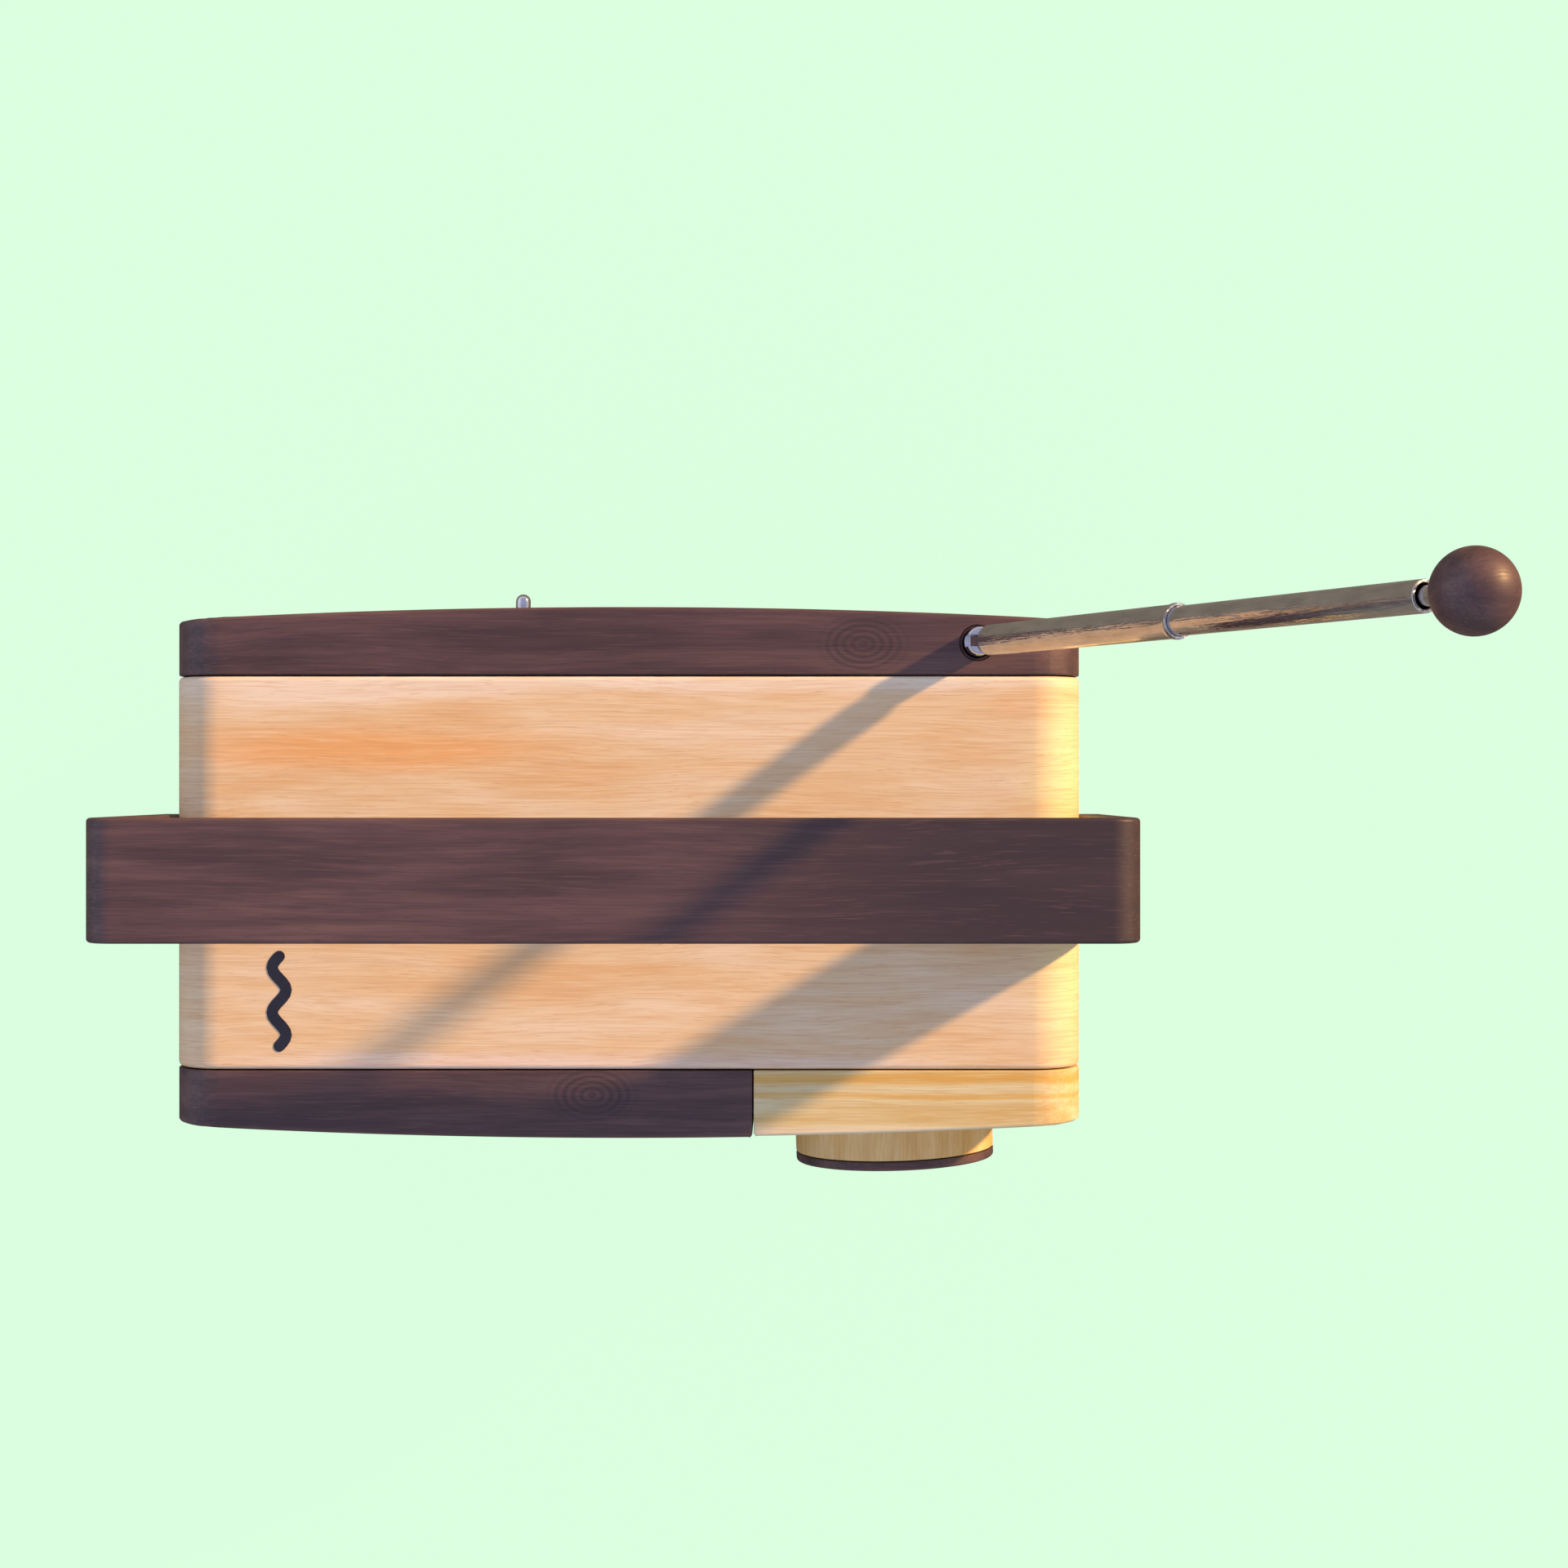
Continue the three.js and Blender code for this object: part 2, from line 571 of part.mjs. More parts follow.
function volumeControl() {
  const seat = POCKET_FLOOR_Y - bowY(KNOB_X) - 2 * GAP;
  const control = turned(
    [
      [seat - CONTROL_DEPTH, 0],
      [seat - CONTROL_DEPTH, CONTROL_RADIUS],
      [seat, CONTROL_RADIUS],
      [seat, BUSHING_RADIUS],
      [BUSHING_FRONT, BUSHING_RADIUS],
      [BUSHING_FRONT, SHAFT_RADIUS + GAP],
      [SHAFT_BACK - GAP, SHAFT_RADIUS + GAP],
      [SHAFT_BACK - GAP, 0],
    ],
    MEDIUM_ROUND,
  );
  return group(
    piece("volume_control", "steel", knobSpace(control)),
    hexNut("volume_nut", NUT_RADIUS, NUT_THICKNESS, BUSHING_RADIUS, knobSpace),
  );
}

// Toggle switch in the rear board.
function toggleSpace(geometry) {
  return rearward(geometry, TOGGLE_X, bowY(TOGGLE_X), MID_Z);
}

function toggleSwitch() {
  const [width, height, depth] = TOGGLE_BODY;
  const seat = POCKET_FLOOR_Y - bowY(TOGGLE_X) - GAP;
  const body = solid(box([-width / 2, -height / 2, seat - depth], [width / 2, height / 2, seat]));
  const bushing = solid(rod(seat - PAST, TOGGLE_PROUD, TOGGLE_BUSHING_RADIUS));
  const bore = solid(rod(LEVER_PIVOT - TOGGLE_BORE_RADIUS, TOGGLE_PROUD + PAST, TOGGLE_BORE_RADIUS));
  const profile = [
    [-LEVER_ROOT_RADIUS, 0],
    [-LEVER_ROOT_RADIUS / 2, LEVER_ROOT_RADIUS],
    [LEVER_NECK, LEVER_ROOT_RADIUS],
    [LEVER_NECK + LEVER_TIP_RADIUS, LEVER_TIP_RADIUS],
    [LEVER_LENGTH - LEVER_TIP_RADIUS, LEVER_TIP_RADIUS],
  ];
  for (let i = 1; i < LEVER_DOME_STEPS; i += 1) {
    const angle = ((i / LEVER_DOME_STEPS) * Math.PI) / 2;
    const height = LEVER_LENGTH - LEVER_TIP_RADIUS * (1 - Math.sin(angle));
    profile.push([height, LEVER_TIP_RADIUS * Math.cos(angle)]);
  }
  const lever = turned([...profile, [LEVER_LENGTH, 0]], SCREW_ROUND);
  const tipped = lever.rotateX(-radians(TOGGLE_TILT)).translate(0, 0, LEVER_PIVOT);
  return group(
    piece("toggle_switch", "steel", toggleSpace(geometryOf(body.add(bushing).subtract(bore)))),
    hexNut("toggle_nut", TOGGLE_NUT_RADIUS, TOGGLE_NUT_THICKNESS, TOGGLE_BUSHING_RADIUS, toggleSpace),
    piece("toggle_lever", "chrome", toggleSpace(tipped)),
  );
}

// Antenna: the socket is fixed, the clevis swivels in it, and the tubes tilt on the clevis pin.
function socketRadius() {
  return POST_RADIUS + RUNNING_GAP + SOCKET_WALL;
}

function antennaSpace(geometry) {
  return geometry.translate(ANTENNA_X, ANTENNA_Y, TOP_Z);
}

function tubeSpace(geometry) {
  return antennaSpace(geometry.rotateY(radians(ANTENNA_TILT)).translate(0, 0, ANTENNA_PIVOT));
}

function acrossY(geometry) {
  return geometry.rotateX(Math.PI / 2);
}

function pinHole() {
  return acrossY(rod(-THROUGH, THROUGH, PIN_RADIUS + RUNNING_GAP));
}

function antennaBase() {
  const floor = -POST_DEPTH - SOCKET_FLOOR;
  const bore = POST_RADIUS + RUNNING_GAP;
  const socket = turned(
    [
      [floor, 0],
      [floor, socketRadius()],
      [-GAP, socketRadius()],
      [-GAP, bore],
      [-POST_DEPTH, bore],
      [-POST_DEPTH, 0],
    ],
    MEDIUM_ROUND,
  );
  const top = ANTENNA_PIVOT + EAR_TOP;
  const post = solid(rod(RUNNING_GAP - POST_DEPTH, top, POST_RADIUS, MEDIUM_ROUND));
  const slot = TONGUE_THICKNESS / 2 + RUNNING_GAP;
  const gap = solid(box([-THROUGH, -slot, ANTENNA_PIVOT - SLOT_FLOOR], [THROUGH, slot, top + PAST]));
  const hole = solid(pinHole().translate(0, 0, ANTENNA_PIVOT));
  const pinEnd = POST_RADIUS - RUNNING_GAP;
  const pin = acrossY(rod(-pinEnd, pinEnd, PIN_RADIUS)).translate(0, 0, ANTENNA_PIVOT);
  return group(
    piece("antenna_socket", "brass", antennaSpace(socket)),
    piece("antenna_clevis", "chrome", antennaSpace(geometryOf(cut(post, [gap, hole])))),
    piece("antenna_pin", "steel", antennaSpace(pin)),
  );
}

function tube1() {
  const collar = TUBE_1_RADIUS + COLLAR_PROUD;
  const barrel = solid(
    turned([
      [TUBE_1_START, 0],
      [TUBE_1_START, TUBE_1_RADIUS],
      [TUBE_1_END - COLLAR_LENGTH, TUBE_1_RADIUS],
      [TUBE_1_END - COLLAR_LENGTH, collar],
      [TUBE_1_END, collar],
      [TUBE_1_END, TUBE_1_BORE],
      [TUBE_1_START + TUBE_FLOOR, TUBE_1_BORE],
      [TUBE_1_START + TUBE_FLOOR, 0],
    ]),
  );
  const half = TONGUE_THICKNESS / 2;
  const eye = solid(acrossY(rod(-half, half, TONGUE_RADIUS)));
  const neck = solid(box([-TONGUE_RADIUS, -half, 0], [TONGUE_RADIUS, half, TUBE_1_START + PAST]));
  const hole = solid(pinHole());
  return tubeSpace(geometryOf(barrel.add(eye).add(neck).subtract(hole)));
}

function tubes() {
  const start = TUBE_1_END - TUBE_ENGAGED;
  const tube2 = turned([
    [start, 0],
    [start, TUBE_2_RADIUS],
    [TUBE_2_END, TUBE_2_RADIUS],
    [TUBE_2_END, TUBE_2_BORE],
    [start + TUBE_FLOOR, TUBE_2_BORE],
    [start + TUBE_FLOOR, 0],
  ]);
  return group(
    piece("antenna_tube_1", "chrome", tube1()),
    piece("antenna_tube_2", "chrome", tubeSpace(tube2)),
    piece("antenna_tube_3", "chrome", tubeSpace(rod(ROD_END - ROD_LENGTH, ROD_END, ROD_RADIUS))),
    piece("antenna_ball", "dark_wood", tubeSpace(ball())),
  );
}

function ball() {
  const bore = ROD_RADIUS + RUNNING_GAP;
  const first = Math.asin(bore / BALL_RADIUS);
  const profile = [
    [ROD_END + GAP, 0],
    [ROD_END + GAP, bore],
  ];
  for (let i = 0; i <= BALL_STEPS; i += 1) {
    const turn = first + ((Math.PI - first) * i) / BALL_STEPS;
    const radius = i === BALL_STEPS ? 0 : BALL_RADIUS * Math.sin(turn);
    profile.push([BALL_CENTRE - BALL_RADIUS * Math.cos(turn), radius]);
  }
  return turned(profile, MEDIUM_ROUND);
}

// Speaker: made about Z with +Z to the front, from the face of its flange.
function speakerSpace(geometry) {
  return forward(geometry, SPEAKER_X, -POCKET_FLOOR_Y + CLOTH_THICKNESS + 2 * GAP, MID_Z);
}

function speaker() {
  const basket = solid(
    ring(
      [
        [-SPEAKER_DEPTH, CONE_NECK],
        [-SPEAKER_DEPTH, SPEAKER_NECK + SHEET],
        [-SPEAKER_FLANGE, SPEAKER_OPENING + SHEET],
        [-SPEAKER_FLANGE, SPEAKER_RADIUS],
        [0, SPEAKER_RADIUS],
        [0, SPEAKER_OPENING],
        [-SPEAKER_FLANGE, SPEAKER_OPENING],
        [SHEET - SPEAKER_DEPTH, SPEAKER_NECK],
        [SHEET - SPEAKER_DEPTH, CONE_NECK],
      ],
      ROUND,
    ),
  );
  const holes = speakerScrewPlaces().map(([x, z]) =>
    solid(rod(-THROUGH, THROUGH, SCREW_RADIUS + GAP, BORE_ROUND).translate(x, z, 0)),
  );
  const coneBack = SHEET - SPEAKER_DEPTH + CONE_LIFT;
  const rim = SPEAKER_OPENING - CONE_CLEARANCE;
  const cone = turned(
    [
      [coneBack, 0],
      [coneBack, CONE_NECK],
      [-SPEAKER_FLANGE, rim],
      [-SPEAKER_FLANGE + CONE_THICKNESS, rim],
      [coneBack + DUST_CAP_THICKNESS, CONE_NECK],
      [coneBack + DUST_CAP_THICKNESS, 0],
    ],
    ROUND,
  );
  const magnetFront = -SPEAKER_DEPTH - GAP;
  const magnet = rod(magnetFront - MAGNET_DEPTH, magnetFront, MAGNET_RADIUS, ROUND);
  const cloth = forward(
    rod(0, CLOTH_THICKNESS, SPEAKER_RADIUS, ROUND),
    SPEAKER_X,
    GAP - POCKET_FLOOR_Y + CLOTH_THICKNESS,
    MID_Z,
  );
  const clothHoles = speakerScrewPlaces().map(([x, z]) => {
    const bore = rod(-THROUGH, THROUGH, SCREW_RADIUS + GAP, BORE_ROUND);
    return solid(forward(bore, SPEAKER_X + x, -POCKET_FLOOR_Y, MID_Z + z));
  });
  return group(
    piece("speaker_cloth", "cloth", geometryOf(cut(solid(cloth), clothHoles))),
    piece("speaker_frame", "steel", speakerSpace(geometryOf(cut(basket, holes)))),
    piece("speaker_cone", "paper", speakerSpace(cone)),
    piece("speaker_magnet", "steel", speakerSpace(magnet)),
  );
}

// Screws: made about Z with the head's face at 0 and the tip below.
function screw(length) {
  return turned(
    [
      [-length, 0],
      [-length + SCREW_POINT, SCREW_RADIUS],
      [-SCREW_HEAD_THICKNESS, SCREW_RADIUS],
      [-SCREW_HEAD_THICKNESS, SCREW_HEAD_RADIUS],
      [0, SCREW_HEAD_RADIUS],
      [0, 0],
    ],
    SCREW_ROUND,
  );
}

function screws() {
  const rear = rearScrewPlaces().map(([x, z], i) =>
    piece(`rear_screw_${i + 1}`, "brass", rearward(screw(REAR_SCREW_LENGTH - GAP), x, bowY(x), z)),
  );
  const headBack = SPEAKER_FLANGE + GAP + SCREW_HEAD_THICKNESS;
  const speakerOnes = speakerScrewPlaces().map(([x, z], i) => {
    const length = SPEAKER_SCREW_LENGTH + SCREW_HEAD_THICKNESS;
    const made = screw(length).rotateX(Math.PI).translate(x, z, -headBack);
    return piece(`speaker_screw_${i + 1}`, "steel", speakerSpace(made));
  });
  return group(...rear, ...speakerOnes);
}

// Electronics on the right, behind the knob.
function electronics() {
  const [width, thickness] = CIRCUIT_SIZE;
  const [canWidth, canDepth, canHeight] = TUNER_SIZE;
  const rear = CIRCUIT_SETBACK - POCKET_FLOOR_Y;
  const board = new THREE.BoxGeometry(...CIRCUIT_SIZE).translate(KNOB_X, rear - thickness / 2, MID_Z);
  const can = new THREE.BoxGeometry(...TUNER_SIZE).translate(
    KNOB_X - (width - canWidth) / 4,
    rear + GAP + canDepth / 2,
    MID_Z + TUNER_RISE + canHeight / 2,
  );
  return group(piece("circuit_board", "circuit", board), piece("tuner_can", "steel", can));
}

function batteries() {
  const pitch = 2 * (CELL_RADIUS + GAP);
  const floor = BASE_Z + SHELL_WALL + GAP;
  const innerWidth = CELL_LENGTH + 2 * GAP;
  const innerDepth = CELL_COUNT * pitch + GAP;
  const trayX = HALF_WIDTH - TRAY_INSET;
  const trayY = HALF_SHELL - TRAY_SETBACK - TRAY_WALL - innerDepth / 2;
  const outer = solid(
    box(
      [trayX - innerWidth / 2 - TRAY_WALL, trayY - innerDepth / 2 - TRAY_WALL, floor],
      [trayX + innerWidth / 2 + TRAY_WALL, trayY + innerDepth / 2 + TRAY_WALL, floor + TRAY_HEIGHT],
    ),
  );
  const inner = solid(
    box(
      [trayX - innerWidth / 2, trayY - innerDepth / 2, floor + TRAY_WALL],
      [trayX + innerWidth / 2, trayY + innerDepth / 2, floor + TRAY_HEIGHT + PAST],
    ),
  );
  const made = group(piece("battery_tray", "plastic", geometryOf(outer.subtract(inner))));
  for (let i = 0; i < CELL_COUNT; i += 1) {
    const y = trayY + (i - (CELL_COUNT - 1) / 2) * pitch;
    const z = floor + TRAY_WALL + GAP + CELL_RADIUS;
    const cell = rod(-CELL_LENGTH / 2, CELL_LENGTH / 2, CELL_RADIUS, MEDIUM_ROUND).rotateY(Math.PI / 2);
    made.add(piece(`battery_cell_${i + 1}`, "cell", cell.translate(trayX, y, z)));
  }
  return made;
}

function basePad() {
  const shape = roundedRectangle(PAD_WIDTH, PAD_DEPTH, PAD_CORNER);
  return piece("base_pad", "rubber", extrude(shape, PAD_THICKNESS));
}

const radio = new THREE.Group();
radio.add(
  shell(),
  mark(),
  rearPanel(),
  frontPanels(),
  basePad(),
  handle(),
  handlePin("handle_pin_left", -1),
  handlePin("handle_pin_right", 1),
  knob(),
  volumeControl(),
  toggleSwitch(),
  antennaBase(),
  tubes(),
  speaker(),
  screws(),
  electronics(),
  batteries(),
);

export default radio;
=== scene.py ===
"""A wooden portable radio: a bent maple shell, walnut and ash boards, a walnut bail handle, a turned knob,
a toggle switch and a telescopic chrome antenna with a walnut ball.

Metres, in the frame's own axes: +Z is up and -Y is the front.
"""
import json
import math

import bpy
from mathutils import Matrix, Vector


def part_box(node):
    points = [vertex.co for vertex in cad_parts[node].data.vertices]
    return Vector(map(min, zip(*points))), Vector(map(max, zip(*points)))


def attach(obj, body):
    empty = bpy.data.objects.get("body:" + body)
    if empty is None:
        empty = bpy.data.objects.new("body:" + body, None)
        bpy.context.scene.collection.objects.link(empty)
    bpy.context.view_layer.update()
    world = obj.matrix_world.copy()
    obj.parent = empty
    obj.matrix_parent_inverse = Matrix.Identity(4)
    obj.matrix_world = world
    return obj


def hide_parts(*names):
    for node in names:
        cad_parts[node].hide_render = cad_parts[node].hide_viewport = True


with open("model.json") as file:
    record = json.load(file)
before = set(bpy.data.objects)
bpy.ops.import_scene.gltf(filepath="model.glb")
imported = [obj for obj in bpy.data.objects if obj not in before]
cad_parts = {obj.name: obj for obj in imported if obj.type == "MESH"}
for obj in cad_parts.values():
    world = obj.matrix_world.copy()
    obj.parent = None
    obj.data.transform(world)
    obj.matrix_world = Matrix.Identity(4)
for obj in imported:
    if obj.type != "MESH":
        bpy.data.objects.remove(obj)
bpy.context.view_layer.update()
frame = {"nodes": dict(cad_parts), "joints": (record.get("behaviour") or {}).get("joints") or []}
joints = {joint["name"]: joint for joint in frame["joints"]}

MM = 0.001
SAME = 0.02 * MM  # places closer than this are one place
WELD = 0.005 * MM  # points closer than this are joined
EDGE_ANGLE = math.radians(40)  # an edge that turns more than this is sharp

# Places from the frame
SHELL_LOW, SHELL_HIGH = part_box("shell")
REAR_LOW, REAR_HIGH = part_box("rear_panel")
DARK_LOW, DARK_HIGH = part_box("front_panel_dark")
LIGHT_LOW, LIGHT_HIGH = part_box("front_panel_light")
HANDLE_LOW, HANDLE_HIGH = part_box("handle")
CLOTH_LOW, CLOTH_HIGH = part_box("speaker_cloth")
PAD_LOW, PAD_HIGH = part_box("base_pad")
BALL_LOW, BALL_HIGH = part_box("antenna_ball")
SOCKET_LOW, SOCKET_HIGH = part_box("antenna_socket")
PIVOT = Vector(joints["handle_fold"]["pos_m"])
KNOB_PLACE = Vector(joints["knob_turn"]["pos_m"])
KNOB_AXIS = Vector(joints["knob_turn"]["axis"])
TOGGLE_PLACE = Vector(joints["toggle_flip"]["pos_m"])
ANTENNA_PLACE = Vector(joints["antenna_tilt"]["pos_m"])
TUBE_AXIS = Vector(joints["middle_slide"]["axis"])
HALF_WIDTH = SHELL_HIGH.x
BASE_Z, TOP_Z = SHELL_LOW.z, SHELL_HIGH.z
MID_Z = (BASE_Z + TOP_Z) / 2

# Cabinet
EDGE_RADIUS = 12.5 * MM
SHELL_WALL = 12 * MM
SHELL_ROUND = 1.2 * MM  # shell's outer edges at its seams
SEAM_ROUND = 0.4 * MM  # boards' edges at the seams
FACE_ROUND = 0.9 * MM  # edge round each board's outer face
BOARD_BOW = 3.2 * MM
BOW_RADIUS = (HALF_WIDTH**2 + BOARD_BOW**2) / (2 * BOARD_BOW)
BEND_SHARE = 0.75  # of a board's thickness from its back, past which points move when it is bowed
COLUMN = 2 * MM  # a bowed board's points are moved in groups this wide
OUTLINE_BAND = 3 * MM  # what is carved in a board stays further in than this
BOARD_CORNER_EDGE = 0.4 * MM
BOARD_RIM = 14 * MM
REAR_TOP_RIM = 26 * MM
POCKET_DEPTH = 10 * MM
CORNER_STEPS = 10
DRILL_DEPTH = 20 * MM  # right through a board
SOCKET_ROOM = 0.1 * MM  # round the antenna's bush
SOCKET_FLOOR_ROOM = 0.3 * MM  # under it

# Foot
PAD_CORNER = 10 * MM
PAD_RIM = 6 * MM
PAD_RECESS = 1 * MM
PAD_EDGE = 0.7 * MM

# Grille
SLOT_HEIGHT = 4.6 * MM
SLOT_PITCH = 9.6 * MM
SLOT_COUNT = 9
SLOT_ROUND = 0.5 * MM
SLOT_REACH = 12 * MM  # of each slot's cutter, in front of the board and into it
SLOT_END = 0.499 * SLOT_HEIGHT  # radius of its ends, just short of a half circle
GRILLE_RADIUS = 40 * MM
GRILLE_CENTRE = (CLOTH_LOW + CLOTH_HIGH) / 2
CLOTH_EDGE = 0.2 * MM
THREAD_SPACING = 0.9 * MM  # coarser than real thread, so that it shows

# Handle
HANDLE_THICKNESS = 6.5 * MM
HANDLE_INNER_BEND = 0.6 * MM
HANDLE_END_ROUND = 6 * MM
HANDLE_EDGE = 0.9 * MM
PIN_RECESS_RADIUS = 6.3 * MM
PIN_RECESS_DEPTH = 2.5 * MM
PIN_RECESS_EDGE = 0.3 * MM
PIN_HOLE_ROOM = 0.3 * MM
PIN_HEAD = (6 * MM, 2.2 * MM, 0.6 * MM)  # radius, thickness, rounding of the edge
PIN_SHANK = (3 * MM, 13 * MM)  # radius, length
PIN_SLOT = (1.2 * MM, 1.1 * MM)  # width, depth
PIN_TWIST = math.radians(35)

# Knob, along its axis from the board's face
KNOB_RADIUS = 26.6 * MM
KNOB_BACK = 1.2 * MM
KNOB_SEAM = 12.6 * MM
KNOB_CAP_BACK = 12.8 * MM
KNOB_FRONT = 15.2 * MM
KNOB_HOLLOW_RADIUS = 9 * MM
KNOB_HOLLOW_DEPTH = 5 * MM
KNOB_BODY_EDGE = 0.4 * MM
KNOB_FRONT_EDGE = 0.7 * MM
KNOB_SEAM_EDGE = 0.3 * MM
KNOB_HOLE_RADIUS = 4.8 * MM  # through the board, for the control's bushing
POINTER_RADIUS = 2.2 * MM
POINTER_REACH = 21.6 * MM
POINTER_DEPTH = 1.3 * MM

# Toggle, along the lever from its pivot
LEVER_LENGTH = 10.6 * MM
LEVER_RADIUS = 2 * MM
LEVER_NECK = 5 * MM
LEVER_ROOT_RADIUS = 1.2 * MM
LEVER_TILT = math.radians(12)
TOGGLE_HOLE_RADIUS = 3.5 * MM

# Antenna, along the tubes from the clevis pin
POST_RADIUS = 3.5 * MM
POST_DEPTH = 13.8 * MM  # below the cabinet's top
EAR_TOP = 3 * MM
EAR_SLOT = 2.7 * MM
EAR_SLOT_FLOOR = 3.2 * MM
EAR_ROUND = 0.8 * MM
EAR_EDGE = 0.15 * MM
TUBE_1 = (4.8 * MM, 83 * MM, 3.7 * MM)  # start, end, radius
TUBE_2 = (76 * MM, 161 * MM, 3.2 * MM)
TUBE_3 = (85 * MM, 171 * MM, 2.0 * MM)
TUBE_LIP = 0.45 * MM
MIDDLE_LIP = 0.75 * MM
MOUTH_EDGE = 0.1 * MM
MIDDLE_EDGE = 0.2 * MM
TUBE_FLOOR = 4 * MM  # solid foot of each hollow tube
TUBE_FOOT_ROUND = 0.6 * MM
COLLAR_LENGTH = 1.6 * MM
COLLAR_PROUD = 0.25 * MM
BEAD_STEPS = 8
TONGUE_THICKNESS = 2.3 * MM
TONGUE_RADIUS = 2.3 * MM
TONGUE_ROOT = 0.3 * MM  # how far the tongue runs into the tube's foot
PIN_HOLE_RADIUS = 1.1 * MM
BALL_BORE_DEPTH = 5.5 * MM
BALL_BORE_ROOM = 0.2 * MM
BALL_BORE_EDGE = 0.25 * MM

# Screws in the back
SCREW_HEAD = (3.4 * MM, 2 * MM, 0.5 * MM)  # radius, thickness, rounding of the edge
SCREW_SHANK = (1.7 * MM, 26 * MM)  # radius, length
SCREW_SLOT = (0.8 * MM, 0.9 * MM)  # width, depth
SCREW_POINT = 1.5 * MM
SCREW_RECESS_RADIUS = 3.7 * MM
SCREW_RECESS_DEPTH = 2.3 * MM
FIRST_TWIST, NEXT_TWIST = math.radians(25), math.radians(50)

# Figure of the wood
GRAIN_WANDER = 5 * MM
KNOT_STRETCH = 1.5
KNOT_RING = 2.1 * MM  # from one ring to the next
KNOT_HEART = 7 * MM  # rings are clear up to here
KNOT_RADIUS = 13 * MM  # and gone by here

# Camera and stage
CAMERA_PLACE = (38.6 * MM, 21.7 * MM, 743 * MM)
CAMERA_LENS = 57.1
SUN_DIRECTION = Vector((2.50, 1.43, 1.0))
SUN_STRENGTH = 5.4
SUN_SPREAD = math.radians(3)
SKY_STRENGTH = 1.1
MINT = "#dcffe1"
FLOOR_SIZE = 60
FLOOR_DROP = 0.2 * MM
FLOOR_SHADE = 0.02  # how much of the light and shade on the floor shows

# CAD parts that stay
KEPT_EDGE = 0.15 * MM


# ---------------------------------------------------------------- modelling


def deselect():
    if bpy.context.mode != "OBJECT":
        bpy.ops.object.mode_set(mode="OBJECT")
    bpy.ops.object.select_all(action="DESELECT")


def activate(piece):
    deselect()
    piece.select_set(True)
    bpy.context.view_layer.objects.active = piece


def edit(piece):
    activate(piece)
    bpy.ops.object.mode_set(mode="EDIT")


def settle(piece, matrix=None):
    """Leaves the object at the origin with its place in its mesh, after moving it by the matrix."""
    activate(piece)
    if matrix is not None:
        piece.matrix_world = matrix @ piece.matrix_world
    bpy.ops.object.transform_apply(location=True, rotation=True, scale=True)
    return piece


def block(low, high):
    """A box between two corners, in edit mode."""
    low, high = Vector(low), Vector(high)
    deselect()
    bpy.ops.mesh.primitive_cube_add(size=1, location=(low + high) / 2, scale=high - low)
    piece = settle(bpy.context.object)
    edit(piece)
    return piece


def round_bar(low, high, radius, sides):
    """A cylinder about Z from low to high, in edit mode."""
    deselect()
    bpy.ops.mesh.primitive_cylinder_add(
        vertices=sides, radius=radius, depth=high - low, location=(0, 0, (low + high) / 2)
    )
    piece = settle(bpy.context.object)
    edit(piece)
    return piece


def turned(profile, sides=64):
    """A piece turned about Z, in edit mode. Its profile is a list of (height, radius) from the foot up, which
    may turn back down into a bore."""
    (height, first), (top, radius) = profile[:2]
    piece = round_bar(height, top, first, sides)
    pick("FACE", lambda middle, normal: normal.z > 0.9)
    bpy.ops.transform.resize(value=(radius / first, radius / first, 1))
    for next_height, next_radius in profile[2:]:
        rise = (0, 0, next_height - top)
        bpy.ops.mesh.extrude_region_move(TRANSFORM_OT_translate={"value": rise})
        bpy.ops.transform.resize(value=(next_radius / radius, next_radius / radius, 1))
        top, radius = next_height, next_radius
    return piece


def quarter(height, radius, bulge, steps=6):
    """Points of a profile that rounds off from its full radius to bulge less, and rises by bulge."""
    turns = [0.5 * math.pi * i / steps for i in range(1, steps + 1)]
    return [(height + bulge * math.sin(t), radius - bulge * (1 - math.cos(t))) for t in turns]


def pick(kind, test):
    """In edit mode, selects only what passes the test. A vertex is tested by its place, an edge by its two
    ends and the angle between its faces, and a face by its middle and its normal."""
    mesh = bpy.context.object.data
    bpy.ops.mesh.select_mode(type=kind)
    bpy.ops.mesh.select_all(action="DESELECT")
    bpy.ops.object.mode_set(mode="OBJECT")
    if kind == "VERT":
        for vertex in mesh.vertices:
            vertex.select = test(vertex.co)
    elif kind == "FACE":
        for face in mesh.polygons:
            face.select = test(face.center, face.normal)
    else:
        beside = {}
        for face in mesh.polygons:
            for key in face.edge_keys:
                beside.setdefault(key, []).append(face.normal)
        for edge in mesh.edges:
            normals = beside.get(edge.key, [])
            turn = normals[0].angle(normals[1], 0) if len(normals) == 2 else math.pi
            start, end = (mesh.vertices[i].co for i in edge.vertices)
            edge.select = test(start, end, turn)
    bpy.ops.object.mode_set(mode="EDIT")


def soften(width, steps, test):
    """Rounds the edges that pass the test."""
    pick("EDGE", test)
    bpy.ops.mesh.bevel(offset=width, segments=steps, affect="EDGES", clamp_overlap=False)


def sharp(start, end, turn):
    return turn > EDGE_ANGLE


def at(value, *others):
    return all(abs(value - other) < SAME for other in others)


def modify(piece, kind, **settings):
    """Adds a modifier with its settings and applies it."""
    modifier = piece.modifiers.new(kind.title(), kind)
    for name, value in settings.items():
        setattr(modifier, name, value)
    activate(piece)
    bpy.ops.object.modifier_apply(modifier=modifier.name)


def carve(piece, cutter):
    """Takes the cutter's shape out of the piece."""
    deselect()
    modify(piece, "BOOLEAN", object=cutter, operation="DIFFERENCE", solver="EXACT")
    bpy.data.objects.remove(cutter)


